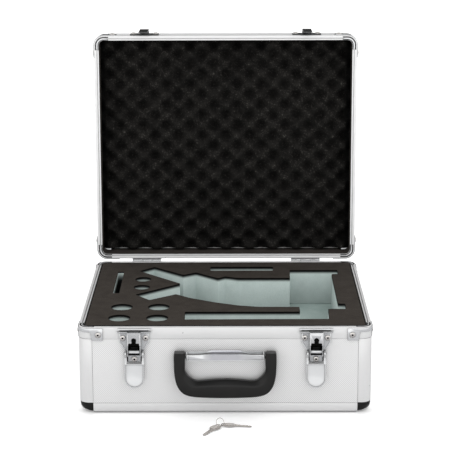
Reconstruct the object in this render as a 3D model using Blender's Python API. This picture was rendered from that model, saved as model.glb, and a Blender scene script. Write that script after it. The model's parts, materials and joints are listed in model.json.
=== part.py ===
"""Aluminium attache case, open, with a cut foam insert, two key latches, a drop handle and its keys.

Metres, +Z up, the front faces -Y. The origin is the centre of the case's underside.
"""

import math

import bmesh
import bpy
from mathutils import Matrix, Vector
from mathutils.geometry import tessellate_polygon

# ---- Driving dimensions -------------------------------------------------------------------------
CASE_WIDTH = 0.440
CASE_DEPTH = 0.382
BASE_HEIGHT = 0.136
LID_HEIGHT = 0.050
LID_OPEN_ANGLE = math.radians(91.5)  # from closed to the hinge's stop
FIT_GAP = 0.0003  # between pieces that touch

WALL = 0.0055  # thickness of posts, rails and panels
PANEL_INSET = 0.0005  # the panels' skin lies this far behind the extrusions' faces
EDGE_RADIUS = 0.009  # outer rounding of the rails
POST_RADIUS = 0.015
POST_WING = 0.0205
RAIL_WING = 0.0165
CAP_SIZE = 0.0205  # ball corner in plan, from its outer faces to its inner ones
CAP_HEIGHT = 0.0172

RIM_HEIGHT = 0.018
RIM_WIDTH = 0.0078
RIM_RADIUS = 0.016
RIM_GROOVE_START = 0.0042
RIM_GROOVE_END = 0.0056
RIM_GROOVE_DEPTH = 0.0024
LID_PARTING_GAP = 0.0004  # between the two rims when the lid is shut

HALF_X = CASE_WIDTH / 2
HALF_Y = CASE_DEPTH / 2

# Hinges and latches stand at the same distance from the middle.
FITTING_X = 0.136
HINGE_WIDTH = 0.049
HINGE_KNUCKLE_HALF = 0.0085
HINGE_KNUCKLE_RADIUS = 0.0032
HINGE_PIN_RADIUS = 0.0015
LEAF_THICKNESS = 0.0012
LEAF_DROP = 0.030
LEAF_RISE = 0.040
HINGE_Y = HALF_Y + FIT_GAP + HINGE_KNUCKLE_RADIUS
HINGE_Z = BASE_HEIGHT + LID_PARTING_GAP / 2


# Latch, measured from its own centre line and from the case's underside.
PLATE_THICKNESS = 0.0012
PLATE_BACK = -(HALF_Y + FIT_GAP)
PLATE_FRONT = PLATE_BACK - PLATE_THICKNESS
LATCH_TOP = 0.1295
HOUSING_HALF = 0.0100
HOUSING_WALL = 0.0012
HOUSING_FRONT = -(HALF_Y + 0.0134)
HOUSING_WINDOW_TOP = 0.1115
LATCH_PIN_Y = -(HALF_Y + 0.0065)
LATCH_PIN_Z = 0.0970
LATCH_PIN_RADIUS = 0.0018
LATCH_BORE_RADIUS = 0.00205
EYE_RADIUS = 0.0034
LEVER_HALF = 0.0147
LEVER_ARM_INNER = 0.0114
LEVER_TIP_Z = 0.0440
LEVER_BACK = -(HALF_Y + 0.0022)
LEVER_DISH_FLOOR = LEVER_BACK - 0.0014
LEVER_FRONT = LEVER_BACK - 0.0030
LEVER_WINDOW_Z = 0.0812
LEVER_HANG = math.radians(6)  # the free lever hangs this far out from its shut position
LEVER_RIM = 0.0016
KEYHOLE_Z = 0.1165
BARREL_RADIUS = 0.0032
CATCH_HALF = 0.0240
TONGUE_HALF = 0.0074
TONGUE_BACK = -(HALF_Y + 0.0079)
TONGUE_THICKNESS = 0.0015
TONGUE_TIP_Z = 0.1030
TONGUE_SLOT = (0.1046, 0.1084)

# Handle
HANDLE_HALF = 0.0765
HANDLE_LEG = 0.0165
HANDLE_TOP = 0.1003
HANDLE_BOTTOM = 0.0300
HANDLE_THICKNESS = 0.0140
HANDLE_BACK = -(HALF_Y + 0.0030)
HANDLE_PIN_Y = HANDLE_BACK - HANDLE_THICKNESS / 2
HANDLE_PIN_Z = 0.0925
HANDLE_PIN_RADIUS = 0.0020
HANDLE_ROD_HALF = 0.0720
HANDLE_END_TAPER = 0.62
GRIP_BEVEL_START = 0.0780
GRIP_BEVEL_RISE = 0.0180
BRACKET_HALF = 0.0582
BRACKET_BOTTOM = 0.0880
BRACKET_TOP = 0.0985
BRACKET_FACET = 0.0220  # half the width of the face's flat middle

# Foam insert: a solid bottom layer, a layer cut right through, and a thin dark cover sheet.
FOAM_HALF_X = 0.2118
FOAM_HALF_Y = HALF_Y - RIM_WIDTH - 0.0006
FOAM_CORNER = 0.0085
FOAM_BOTTOM = 0.0060
POCKET_FLOOR = 0.0770
SHEET_BOTTOM = 0.1336
FOAM_TOP = 0.1358
LID_FOAM_DEPTH = 0.0175  # from the lid's parting plane back to the foam's peaks

KEY_THICKNESS = 0.0012
KEY_RING_RADIUS = 0.0062
KEY_WIRE = 0.0005
KEY_RING_CENTRE = (-0.0075, -0.2440)


# ---- Materials ----------------------------------------------------------------------------------
def make_material(name, colour, roughness, metallic):
    material = bpy.data.materials.new(name)
    material.use_nodes = True
    shader = material.node_tree.nodes["Principled BSDF"]
    shader.inputs["Base Color"].default_value = (*colour, 1)
    shader.inputs["Roughness"].default_value = roughness
    shader.inputs["Metallic"].default_value = metallic
    material.diffuse_color = (*colour, 1)
    return material


MATERIALS = {
    "panel_skin": ((0.72, 0.73, 0.74), 0.45, 0.6),
    "aluminium": ((0.80, 0.81, 0.82), 0.32, 1.0),
    "chrome": ((0.70, 0.71, 0.73), 0.12, 1.0),
    "rivet": ((0.78, 0.76, 0.72), 0.18, 1.0),
    "lock_dark": ((0.03, 0.03, 0.03), 0.40, 0.8),
    "black_plastic": ((0.02, 0.02, 0.019), 0.45, 0.0),
    "foam_cover": ((0.065, 0.058, 0.052), 0.95, 0.0),
    "foam_core": ((0.55, 0.61, 0.59), 0.95, 0.0),
    "foam_black": ((0.012, 0.012, 0.012), 0.98, 0.0),
    "key_nickel": ((0.62, 0.60, 0.55), 0.25, 1.0),
}


# ---- Small building blocks ----------------------------------------------------------------------
def finish(name, mesh_builder, material, parent=None, smooth_angle=None):
    """Turns a bmesh into a named object, with its normals out and its material set."""
    bmesh.ops.recalc_face_normals(mesh_builder, faces=mesh_builder.faces)
    mesh = bpy.data.meshes.new(name)
    mesh_builder.to_mesh(mesh)
    mesh_builder.free()
    mesh.materials.append(bpy.data.materials[material])
    if smooth_angle is not None:
        mesh.shade_smooth()
        mesh.set_sharp_from_angle(angle=smooth_angle)
    piece = bpy.data.objects.new(name, mesh)
    bpy.context.scene.collection.objects.link(piece)
    if parent is not None:
        piece.parent = parent
    return piece


def pivot(name, location, rotation_x=0.0):
    empty = bpy.data.objects.new(name, None)
    empty.location = location
    empty.rotation_euler = (rotation_x, 0, 0)
    bpy.context.scene.collection.objects.link(empty)
    return empty


def add_box(builder, low, high):
    """A box between two corners; works on a builder that already holds other bodies."""
    low, high = Vector(low), Vector(high)
    made = bmesh.ops.create_cube(builder, size=1.0)["verts"]
    bmesh.ops.scale(builder, verts=made, vec=high - low)
    bmesh.ops.translate(builder, verts=made, vec=(low + high) / 2)


def add_prism(builder, outline, axis, start, end):
    """Extrudes an outline along one axis. The outline's pairs are the other two coordinates in order."""
    def point(pair, along):
        coordinates = list(pair)
        coordinates.insert("XYZ".index(axis), along)
        return coordinates

    near = [builder.verts.new(point(pair, start)) for pair in outline]
    far = [builder.verts.new(point(pair, end)) for pair in outline]
    count = len(outline)
    builder.faces.new(near)
    builder.faces.new(far[::-1])
    for index in range(count):
        following = (index + 1) % count
        builder.faces.new((near[index], far[index], far[following], near[following]))


def add_cylinder(builder, centre, radius, axis, start, end, segments=20):
    outline = circle(centre, radius, segments)
    add_prism(builder, outline, axis, start, end)


def circle(centre, radius, segments):
    turn = 2 * math.pi / segments
    return [
        (centre[0] + radius * math.cos(turn * step), centre[1] + radius * math.sin(turn * step))
        for step in range(segments)
    ]


def arc(centre, radius, start, end, segments):
    """Points on an arc, both ends included; angles in degrees."""
    points = []
    for step in range(segments + 1):
        angle = math.radians(start + (end - start) * step / segments)
        points.append((centre[0] + radius * math.cos(angle), centre[1] + radius * math.sin(angle)))
    return points


def rounded_rectangle(half_x, half_y, radius, segments=5, centre=(0, 0)):
    points = []
    for quarter, (sign_x, sign_y) in enumerate(((1, 1), (-1, 1), (-1, -1), (1, -1))):
        corner = (centre[0] + sign_x * (half_x - radius), centre[1] + sign_y * (half_y - radius))
        points += arc(corner, radius, 90 * quarter, 90 * quarter + 90, segments)
    return points


def filleted(points, radius, segments=3):
    """An outline with each corner rounded by a quadratic curve that starts `radius` from it."""
    rounded = []
    count = len(points)
    for index, corner in enumerate(points):
        here = Vector(corner)
        before = Vector(points[index - 1]) - here
        after = Vector(points[(index + 1) % count]) - here
        reach = min(radius, before.length / 2.2, after.length / 2.2)
        start = here + before.normalized() * reach
        end = here + after.normalized() * reach
        for step in range(segments + 1):
            t = step / segments
            spot = start * (1 - t) ** 2 + here * 2 * t * (1 - t) + end * t ** 2
            rounded.append((spot.x, spot.y))
    return rounded


def add_loops(builder, loops, closed=True):
    """Skins a list of equally long point loops, each joined to the next, the last to the first if closed."""
    rings = [[builder.verts.new(point) for point in loop] for loop in loops]
    count = len(rings[0])
    pairs = len(rings) if closed else len(rings) - 1
    for index in range(pairs):
        here, there = rings[index], rings[(index + 1) % len(rings)]
        for step in range(count):
            following = (step + 1) % count
            builder.faces.new((here[step], here[following], there[following], there[step]))
    return rings


def sweep_frame(builder, profile, half_x, half_y, radius, segments=5):
    """Runs a closed profile of (inset, height) pairs round a rounded rectangle."""
    loops = []
    for inset, height in profile:
        path = rounded_rectangle(half_x - inset, half_y - inset, radius - inset, segments)
        loops.append([(x, y, height) for x, y in path])
    add_loops(builder, loops)


def cut(piece, cutter, operation="DIFFERENCE"):
    """Adds a Boolean to the piece and hides the other object, which only guides the cut."""
    boolean = piece.modifiers.new(cutter.name, "BOOLEAN")
    boolean.operation = operation
    boolean.solver = "EXACT"
    boolean.object = cutter
    cutter.hide_render = True
    cutter.display_type = "WIRE"


# ---- Casing: panels, posts, rails, ball corners and rim -----------------------------------------
def post_section(sign_x, sign_y):
    """L-shaped extrusion with a rounded outer edge, in plan, for one corner of the case."""
    outer = arc((HALF_X - POST_RADIUS, HALF_Y - POST_RADIUS), POST_RADIUS, 90, 0, 6)
    inner = arc((HALF_X - POST_RADIUS, HALF_Y - POST_RADIUS), POST_RADIUS - WALL, 0, 90, 4)
    section = [(HALF_X - POST_WING, HALF_Y), *outer, (HALF_X, HALF_Y - POST_WING)]
    section += [(HALF_X - WALL, HALF_Y - POST_WING), *inner, (HALF_X - POST_WING, HALF_Y - WALL)]
    return [(sign_x * x, sign_y * y) for x, y in section]


def rail_section(half, lower, direction, wall_wing):
    """L-shaped rail along an edge, as (across, height) pairs; direction +1 is a floor edge, -1 a top edge."""
    def height(offset):
        return lower + direction * offset

    outer = arc((half - EDGE_RADIUS, EDGE_RADIUS), EDGE_RADIUS, -90, 0, 5)
    inner = arc((half - EDGE_RADIUS, EDGE_RADIUS), EDGE_RADIUS - WALL, 0, -90, 3)
    section = [(half - RAIL_WING, 0), *outer, (half, wall_wing)]
    section += [(half - WALL, wall_wing), *inner, (half - RAIL_WING, WALL)]
    return [(across, height(offset)) for across, offset in section]


def add_cap(builder, corner, signs):
    """Ball corner: an eighth of a rounded body whose flat sides meet the post and both rails."""
    steps = 6
    grid = {}
    for row in range(steps + 1):
        polar = math.pi / 2 * row / steps
        for column in range(steps + 1 if row else 1):
            around = math.pi / 2 * column / steps
            u = math.sin(polar) * math.cos(around)
            v = math.sin(polar) * math.sin(around)
            w = math.cos(polar)
            middle = min(1.0, math.sqrt(27) * u * v * w)
            power = 2.9 - 0.6 * middle ** 0.6
            reach = CAP_SIZE / (u ** power + v ** power + w ** power) ** (1 / power)
            rise = signs[2] * w * CAP_HEIGHT / CAP_SIZE
            spot = Vector(corner) + reach * Vector((signs[0] * u, signs[1] * v, rise))
            grid[row, column] = builder.verts.new(spot)
    centre = builder.verts.new(corner)
    for row in range(steps):
        for column in range(steps):
            corners = [grid[row, column if row else 0], grid[row + 1, column]]
            corners += [grid[row + 1, column + 1], grid[row, column + 1 if row else 0]]
            builder.faces.new(list(dict.fromkeys(corners)))
    edge_a = [grid[row, 0] for row in range(steps + 1)]
    edge_b = [grid[row, steps if row else 0] for row in range(steps + 1)]
    edge_c = [grid[steps, column] for column in range(steps + 1)]
    for edge in (edge_a, edge_b, edge_c):
        builder.faces.new([centre, *edge])


def rim_profile(base_height, direction):
    """Section of the rim extrusion: outer land, groove, inner ridge; direction is towards the parting."""
    top = base_height + direction * RIM_HEIGHT

    def down(depth):
        return top - direction * depth

    lip = 0.0007
    return [
        (0, base_height), (0, down(lip)), (lip, top), (RIM_GROOVE_START, top),
        (RIM_GROOVE_START, down(RIM_GROOVE_DEPTH)), (RIM_GROOVE_END, down(RIM_GROOVE_DEPTH)),
        (RIM_GROOVE_END, down(0.0004)), (RIM_WIDTH, down(0.0004)), (RIM_WIDTH, base_height),
    ]


def add_rim_bracket(builder, sign_x, sign_y, parting, direction):
    """Corner bracket of the rim: a rivet plate on each face, joined by a band round the corner."""
    plate_end, plate_start, slope = 0.0370, 0.0205, 0.0025
    band = (parting - direction * 0.0014, parting - direction * 0.0072)
    foot = parting - direction * 0.0205
    centre_x, centre_y = HALF_X - RIM_RADIUS, HALF_Y - RIM_RADIUS
    stations = []
    for reach, low in ((plate_end, foot), (plate_start, foot), (plate_start - slope, band[1])):
        stations.append(((HALF_X - reach, HALF_Y), (0, 1), low))
    for angle in range(90, -1, -18):
        direction_out = (math.cos(math.radians(angle)), math.sin(math.radians(angle)))
        spot = (centre_x + RIM_RADIUS * direction_out[0], centre_y + RIM_RADIUS * direction_out[1])
        stations.append((spot, direction_out, band[1]))
    for reach, low in ((plate_start - slope, band[1]), (plate_start, foot), (plate_end, foot)):
        stations.append(((HALF_X, HALF_Y - reach), (1, 0), low))
    loops = []
    for spot, out, low in stations:
        loop = []
        for distance, height in (
            (FIT_GAP, low), (FIT_GAP, band[0]), (FIT_GAP + 0.001, band[0]), (FIT_GAP + 0.001, low)
        ):
            loop.append((sign_x * (spot[0] + distance * out[0]), sign_y * (spot[1] + distance * out[1]), height))
        loops.append(loop)
    rings = add_loops(builder, loops, closed=False)
    builder.faces.new(rings[0])
    builder.faces.new(rings[-1])


CORNERS = [(sign_x, sign_y) for sign_x in (-1, 1) for sign_y in (-1, 1)]


def corner_name(sign_x, sign_y):
    return ("front" if sign_y < 0 else "rear") + ("_left" if sign_x < 0 else "_right")


def shifted(builder, origin):
    """Moves everything built so far so that `origin` becomes the object's own origin."""
    bmesh.ops.translate(builder, verts=builder.verts, vec=-Vector(origin))
    return builder


def side_panel(name, side, bottom, top):
    """One wall between two posts: front, rear, left or right."""
    builder = bmesh.new()
    long_half = (HALF_X if side in ("front", "rear") else HALF_Y) - POST_WING - FIT_GAP
    outer = (HALF_Y if side in ("front", "rear") else HALF_X) - PANEL_INSET
    inner = outer + PANEL_INSET - WALL
    sign = -1 if side in ("front", "left") else 1
    depth = sorted((sign * inner, sign * outer))
    if side in ("front", "rear"):
        add_box(builder, (-long_half, depth[0], bottom), (long_half, depth[1], top))
    else:
        add_box(builder, (depth[0], -long_half, bottom), (depth[1], long_half, top))
    finish(name, builder, "panel_skin")


def edge_rail(name, side, level, direction, wall_wing, parent=None, origin=(0, 0, 0)):
    builder = bmesh.new()
    add_rail(builder, side, level, direction, wall_wing)
    finish(name, shifted(builder, origin), "aluminium", parent, math.radians(40))


def add_rail(builder, side, level, direction, wall_wing):
    sign = -1 if side in ("front", "left") else 1
    if side in ("front", "rear"):
        reach = HALF_X - CAP_SIZE - FIT_GAP
        section = [(sign * across, height) for across, height in rail_section(HALF_Y, level, direction, wall_wing)]
        add_prism(builder, section, "X", -reach, reach)
    else:
        reach = HALF_Y - CAP_SIZE - FIT_GAP
        section = [(sign * across, height) for across, height in rail_section(HALF_X, level, direction, wall_wing)]
        add_prism(builder, section, "Y", -reach, reach)


def floor_panel(builder, level, direction):
    """The big flat panel between the four rails, with its corners cut clear of the ball corners."""
    reach = RAIL_WING + FIT_GAP
    outline = notched_rectangle(HALF_X - reach, HALF_Y - reach, CAP_SIZE - RAIL_WING)
    add_prism(builder, outline, "Z", level, level + direction * WALL)


SIDES = ("front", "rear", "left", "right")


def build_base():
    wall_bottom = RAIL_WING + FIT_GAP
    wall_top = BASE_HEIGHT - RIM_HEIGHT - FIT_GAP
    for side in SIDES:
        side_panel(f"base_{side}_panel", side, wall_bottom, wall_top)
        edge_rail(f"base_{side}_rail", side, 0, 1, RAIL_WING)
    builder = bmesh.new()
    floor_panel(builder, 0, 1)
    finish("base_floor_panel", builder, "panel_skin")
    for sign_x, sign_y in CORNERS:
        builder = bmesh.new()
        add_prism(builder, post_section(sign_x, sign_y), "Z", CAP_HEIGHT + FIT_GAP, wall_top)
        finish(f"base_post_{corner_name(sign_x, sign_y)}", builder, "aluminium", None, math.radians(40))
    for sign_x, sign_y in CORNERS:
        place = corner_name(sign_x, sign_y)
        builder = bmesh.new()
        corner = (sign_x * (HALF_X - CAP_SIZE), sign_y * (HALF_Y - CAP_SIZE), CAP_HEIGHT)
        add_cap(builder, corner, (sign_x, sign_y, -1))
        finish(f"base_ball_corner_{place}", builder, "black_plastic", None, math.radians(35))
        builder = bmesh.new()
        add_rim_bracket(builder, sign_x, sign_y, BASE_HEIGHT, 1)
        finish(f"base_rim_bracket_{place}", builder, "chrome", None, math.radians(35))
    builder = bmesh.new()
    sweep_frame(builder, rim_profile(BASE_HEIGHT - RIM_HEIGHT, 1), HALF_X, HALF_Y, RIM_RADIUS)
    finish("base_rim", builder, "aluminium", None, math.radians(40))


# ---- Foam insert --------------------------------------------------------------------------------
def foam_cutouts():
    """Plan outlines of the cut-outs: the instrument cavity, four slots and six round wells."""
    mm = 0.001
    cavity = [
        (-145, 128), (-121, 153), (-71, 103), (-50, 118), (-13, 82), (-1, 93), (21, 83), (106, 83),
        (107, 132), (187, 132), (187, 107), (176, 107), (176, -67), (187, -67), (187, -95),
        (159, -95), (158, -148), (-62, -150), (-62, -110), (115, -110), (115, -84),
        (50, -83), (19, -75), (-19, -57), (-58, -32), (-79, -12), (-120, -45), (-144, -14), (-74, 50),
    ]
    outlines = [filleted([(x * mm, y * mm) for x, y in cavity], 0.0022, 2)]
    outlines.append(rounded_rectangle(0.0530, 0.0120, 0.0035, 2, (0.0265, 0.1415)))
    outlines.append(rounded_rectangle(0.0050, 0.0640, 0.0015, 1, (-0.1755, 0.0580)))
    for x, y, radius in (
        (-0.1360, 0.0765, 0.0131), (-0.1360, 0.0290, 0.0131),
        (-0.1609, -0.0836, 0.0168), (-0.1035, -0.0836, 0.0168),
        (-0.1612, -0.1416, 0.0168), (-0.1035, -0.1416, 0.0168),
    ):
        outlines.append(circle((x, y), radius, 20))
    return outlines


# Turns a layer drawn in (x, y) with its height in z into one drawn in (y, z) with its width along x.
UPRIGHT_ALONG_X = Matrix(((0, 0, 1, 0), (1, 0, 0, 0), (0, 1, 0, 0), (0, 0, 0, 1)))


def add_cut_layer(builder, outer, holes, bottom, top):
    """A flat layer with holes right through it."""
    outlines = [outer, *holes]
    flat = [(x, y) for outline in outlines for x, y in outline]
    triangles = tessellate_polygon([[Vector((x, y, 0)) for x, y in outline] for outline in outlines])
    lower = [builder.verts.new((x, y, bottom)) for x, y in flat]
    upper = [builder.verts.new((x, y, top)) for x, y in flat]
    for triangle in triangles:
        builder.faces.new([lower[index] for index in triangle])
        builder.faces.new([upper[index] for index in reversed(triangle)])
    start = 0
    for outline in outlines:
        count = len(outline)
        for step in range(count):
            here, there = start + step, start + (step + 1) % count
            builder.faces.new((lower[here], lower[there], upper[there], upper[here]))
        start += count


def notched_rectangle(half_x, half_y, notch):
    """A rectangle with a square notch in each corner, counter-clockwise."""
    outline = []
    for sign_x, sign_y in ((1, 1), (-1, 1), (-1, -1), (1, -1)):
        corner = [(half_x, half_y - notch), (half_x - notch, half_y - notch), (half_x - notch, half_y)]
        if sign_x * sign_y < 0:
            corner.reverse()
        outline += [(sign_x * x, sign_y * y) for x, y in corner]
    return outline


def build_foam():
    outer = rounded_rectangle(FOAM_HALF_X, FOAM_HALF_Y, FOAM_CORNER, 3)
    holes = foam_cutouts()
    notch = CAP_SIZE - (HALF_X - FOAM_HALF_X) + FIT_GAP
    builder = bmesh.new()
    add_prism(builder, notched_rectangle(FOAM_HALF_X, FOAM_HALF_Y, notch), "Z", FOAM_BOTTOM, POCKET_FLOOR)
    finish("foam_bottom_layer", builder, "foam_core")
    builder = bmesh.new()
    add_cut_layer(builder, outer, holes, POCKET_FLOOR + FIT_GAP, SHEET_BOTTOM)
    finish("foam_cut_layer", builder, "foam_core")
    builder = bmesh.new()
    add_cut_layer(builder, outer, holes, SHEET_BOTTOM + FIT_GAP, FOAM_TOP)
    finish("foam_cover_sheet", builder, "foam_cover")


# ---- Handle and its bracket -----------------------------------------------------------------------
def handle_stations():
    """Pairs of outer and inner edge points, in front view, from one leg's top round to the other's."""
    mm = 0.001
    inner_leg = (HANDLE_HALF - HANDLE_LEG) / mm
    outer_leg = HANDLE_HALF / mm
    top, bottom = HANDLE_TOP / mm, HANDLE_BOTTOM / mm
    half = [
        ((outer_leg - 2, top), (inner_leg + 2, top)),
        ((outer_leg, top - 2.6), (inner_leg, top - 2.6)),
        ((outer_leg, 82), (inner_leg, 81)), ((76.2, 72), (60.6, 74.6)), ((75.2, 62), (59.4, 69.4)),
        ((73.0, 52), (56.4, 64.2)), ((69.0, 43.5), (52.2, 59.6)), ((62.5, 36.6), (46.6, 56.0)),
        ((53.0, 32.8), (39.6, 54.9)), ((41.0, bottom + 1.2), (29.0, 55.9)),
        ((24.0, bottom + 0.4), (16.0, 57.0)), ((0, bottom), (0, 57.6)),
    ]
    pairs = [((-outer[0], outer[1]), (-inner[0], inner[1])) for outer, inner in half]
    pairs += half[-2::-1]
    outer_path, inner_path = ([Vector(pair[edge]) * mm for pair in pairs] for edge in (0, 1))
    return list(zip(eased(outer_path, 2), eased(inner_path, 2)))


def eased(path, steps):
    """A smooth curve through the points, with `steps` pieces between each two."""
    points = []
    for index in range(len(path) - 1):
        before, here, there = path[max(index - 1, 0)], path[index], path[index + 1]
        beyond = path[min(index + 2, len(path) - 1)]
        for step in range(steps):
            t = step / steps
            bend = (there - before) * t + (2 * before - 5 * here + 4 * there - beyond) * t ** 2
            points.append(here + (bend + (3 * here - before - 3 * there + beyond) * t ** 3) / 2)
    return [*points, path[-1]]


def grip_section(outer, inner):
    """Rounded section of the handle at one station; its inner front edge is cut away more towards the grip."""
    low, high = 0.0015, 0.0080
    share = min(1.0, max(0.0, (GRIP_BEVEL_START - inner.y) / GRIP_BEVEL_RISE))
    bevel = 2 * (low + (high - low) * share) / (outer - inner).length
    depth = 0.2 + 0.65 * share
    corners = [(bevel - 1, -1), (1, -1), (1, 1), (-1, 1), (-1, depth - 1)]
    return filleted(corners, 0.16, 2)


def build_handle():
    hinge_line = (0, HANDLE_PIN_Y, HANDLE_PIN_Z)
    swing = pivot("handle_pivot", hinge_line)
    stations = handle_stations()
    builder = bmesh.new()
    loops = []
    for index, (outer, inner) in enumerate(stations):
        end = index in (0, len(stations) - 1)
        depth = HANDLE_THICKNESS / 2 * (HANDLE_END_TAPER if end else 1.0)
        middle, reach = (outer + inner) / 2, (outer - inner) / 2
        loop = []
        for across, along in grip_section(outer, inner):
            spot = middle + reach * across
            loop.append((spot.x, HANDLE_PIN_Y + depth * along, spot.y))
        loops.append(loop)
    rings = add_loops(builder, loops, closed=False)
    builder.faces.new(rings[0])
    builder.faces.new(rings[-1])
    shifted(builder, hinge_line)
    grip = finish("handle_grip", builder, "black_plastic", swing, math.radians(40))
    for sign in (-1, 1):
        builder = bmesh.new()
        ends = sorted((sign * (BRACKET_HALF + 0.0008), sign * (HANDLE_ROD_HALF + 0.0015)))
        bore = HANDLE_PIN_RADIUS + FIT_GAP / 3
        add_cylinder(builder, (0, 0), bore, "X", *ends, 20)
        cut(grip, finish(f"handle_bore_{'left' if sign < 0 else 'right'}", builder, "chrome", swing))


def build_handle_bracket():
    """Chrome sheet between the handle's legs, folded round the pivot rod: back plate, ears and faceted face."""
    back, front = PLATE_BACK + 0.0005, PLATE_BACK + 0.0005 - 0.0016
    ear_front = HANDLE_PIN_Y - 0.0036
    crest = BRACKET_TOP + 0.0020
    outline = [
        (-BRACKET_HALF, BRACKET_BOTTOM), (BRACKET_HALF, BRACKET_BOTTOM), (BRACKET_HALF, BRACKET_TOP),
        (0.0270, BRACKET_TOP), (0.0225, crest), (-0.0225, crest), (-0.0270, BRACKET_TOP),
        (-BRACKET_HALF, BRACKET_TOP),
    ]
    builder = bmesh.new()
    add_prism(builder, outline, "Y", front, back)
    bracket = finish("handle_bracket", builder, "chrome", None)
    ears = bmesh.new()
    for sign in (-1, 1):
        profile = [(front + 0.0005, BRACKET_BOTTOM), (front + 0.0005, BRACKET_TOP), (ear_front + 0.003, BRACKET_TOP),
                   (ear_front, BRACKET_TOP - 0.003), (ear_front, BRACKET_BOTTOM + 0.003),
                   (ear_front + 0.003, BRACKET_BOTTOM)]
        ends = sorted((sign * (BRACKET_HALF - 0.0016), sign * BRACKET_HALF))
        add_prism(ears, profile, "X", *ends)
    cut(bracket, finish("bracket_ears", ears, "chrome"), "UNION")
    lip = bmesh.new()
    face_back = HANDLE_PIN_Y - HANDLE_PIN_RADIUS - 2 * FIT_GAP
    add_box(lip, (-BRACKET_HALF + 0.001, face_back - 0.0004, BRACKET_BOTTOM),
            (BRACKET_HALF - 0.001, front + 0.0005, BRACKET_BOTTOM + 0.0012))
    cut(bracket, finish("bracket_lip", lip, "chrome"), "UNION")
    end, middle = BRACKET_HALF - 0.0010, BRACKET_FACET
    outline = [(-end, face_back), (-end, face_back - 0.0010), (-middle, face_back - 0.0020),
               (middle, face_back - 0.0020), (end, face_back - 0.0010), (end, face_back)]
    face = bmesh.new()
    add_prism(face, outline, "Z", BRACKET_BOTTOM + 0.0004, BRACKET_TOP - 0.0012)
    cut(bracket, finish("bracket_face", face, "chrome"), "UNION")
    bore = bmesh.new()
    add_cylinder(bore, (HANDLE_PIN_Y, HANDLE_PIN_Z), HANDLE_PIN_RADIUS + FIT_GAP, "X", -0.07, 0.07, 20)
    cut(bracket, finish("bracket_bore", bore, "chrome"))
    rod = bmesh.new()
    add_cylinder(rod, (HANDLE_PIN_Y, HANDLE_PIN_Z), HANDLE_PIN_RADIUS, "X", -HANDLE_ROD_HALF, HANDLE_ROD_HALF)
    finish("handle_pivot_rod", rod, "rivet", None, math.radians(40))


# ---- Latches --------------------------------------------------------------------------------------
def inset_outline(outline, distance):
    """Moves each edge of a counter-clockwise outline inwards and meets them again at the corners."""
    moved = []
    count = len(outline)
    for index in range(count):
        here = Vector(outline[index])
        before = (here - Vector(outline[index - 1])).normalized()
        after = (Vector(outline[(index + 1) % count]) - here).normalized()
        normal = Vector((-before.y - after.y, before.x + after.x))
        normal.normalize()
        stretch = max(0.4, normal.dot(Vector((-before.y, before.x))))
        moved.append(tuple(here + normal * distance / stretch))
    return moved


def lever_outline():
    """Front view of the lever's dished plate, centred on X: straight sides and a rounded spade point."""
    top, side_end = LEVER_WINDOW_Z, 0.0590
    right = [(LEVER_HALF, top), (LEVER_HALF, side_end), (0.0144, 0.0556), (0.0134, 0.0524),
             (0.0114, 0.0492), (0.0086, 0.0467), (0.0048, 0.0448), (0.0018, 0.0441)]
    left = [(-x, z) for x, z in right]
    return [*left, (0, LEVER_TIP_Z), *reversed(right)]


def build_latch(hand, sign):
    centre = sign * FITTING_X
    axis_point = (centre, LATCH_PIN_Y, LATCH_PIN_Z)
    build_latch_plate(hand, centre)
    build_lever(hand, centre, axis_point)
    build_lock(hand, centre)


def build_latch_plate(hand, centre):
    """Plate, raised housing over the tongue's channel and two ears for the lever's pin."""
    right = [(0.0110, 0.0820), (0.0110, 0.0930), (0.0145, 0.1010), (0.0220, 0.1125), (0.0220, 0.1275),
             (0.0205, LATCH_TOP)]
    outline = [(centre + x, z) for x, z in right] + [(centre - x, z) for x, z in reversed(right)]
    builder = bmesh.new()
    add_prism(builder, outline, "Y", PLATE_FRONT, PLATE_BACK)
    plate = finish(f"latch_plate_{hand}", builder, "chrome", None)
    overlap = PLATE_FRONT + 0.0005
    top_lip = bmesh.new()
    add_box(top_lip, (centre - 0.0250, PLATE_FRONT - 0.0022, LATCH_TOP - 0.0010),
            (centre + 0.0250, PLATE_BACK, LATCH_TOP + 0.0004))
    cut(plate, finish(f"latch_lip_{hand}", top_lip, "chrome"), "UNION")
    housing = bmesh.new()
    wall_inner = HOUSING_HALF - HOUSING_WALL
    for side in (-1, 1):
        profile = [
            (overlap, 0.0925), (overlap, 0.1308), (HOUSING_FRONT, 0.1308), (HOUSING_FRONT, 0.1040),
            (LATCH_PIN_Y - 0.0040, 0.0985), (LATCH_PIN_Y - 0.0036, 0.0940), (LATCH_PIN_Y - 0.0014, 0.0925),
        ]
        ends = sorted((centre + side * wall_inner, centre + side * HOUSING_HALF))
        add_prism(housing, profile, "X", *ends)
    cut(plate, finish(f"latch_housing_sides_{hand}", housing, "chrome"), "UNION")
    front = bmesh.new()
    add_box(front, (centre - HOUSING_HALF, HOUSING_FRONT, HOUSING_WINDOW_TOP),
            (centre + HOUSING_HALF, HOUSING_FRONT + HOUSING_WALL, 0.1308))
    cut(plate, finish(f"latch_housing_front_{hand}", front, "chrome"), "UNION")
    holes = bmesh.new()
    add_cylinder(holes, (LATCH_PIN_Y, LATCH_PIN_Z), LATCH_BORE_RADIUS, "X", centre - 0.02, centre + 0.02, 16)
    cut(plate, finish(f"latch_pin_bore_{hand}", holes, "chrome"))
    barrel_hole = bmesh.new()
    add_cylinder(barrel_hole, (centre, KEYHOLE_Z), BARREL_RADIUS + FIT_GAP, "Y",
                 HOUSING_FRONT - 0.001, HOUSING_FRONT + HOUSING_WALL + 0.0006, 20)
    cut(plate, finish(f"latch_barrel_bore_{hand}", barrel_hole, "chrome"))


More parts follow.
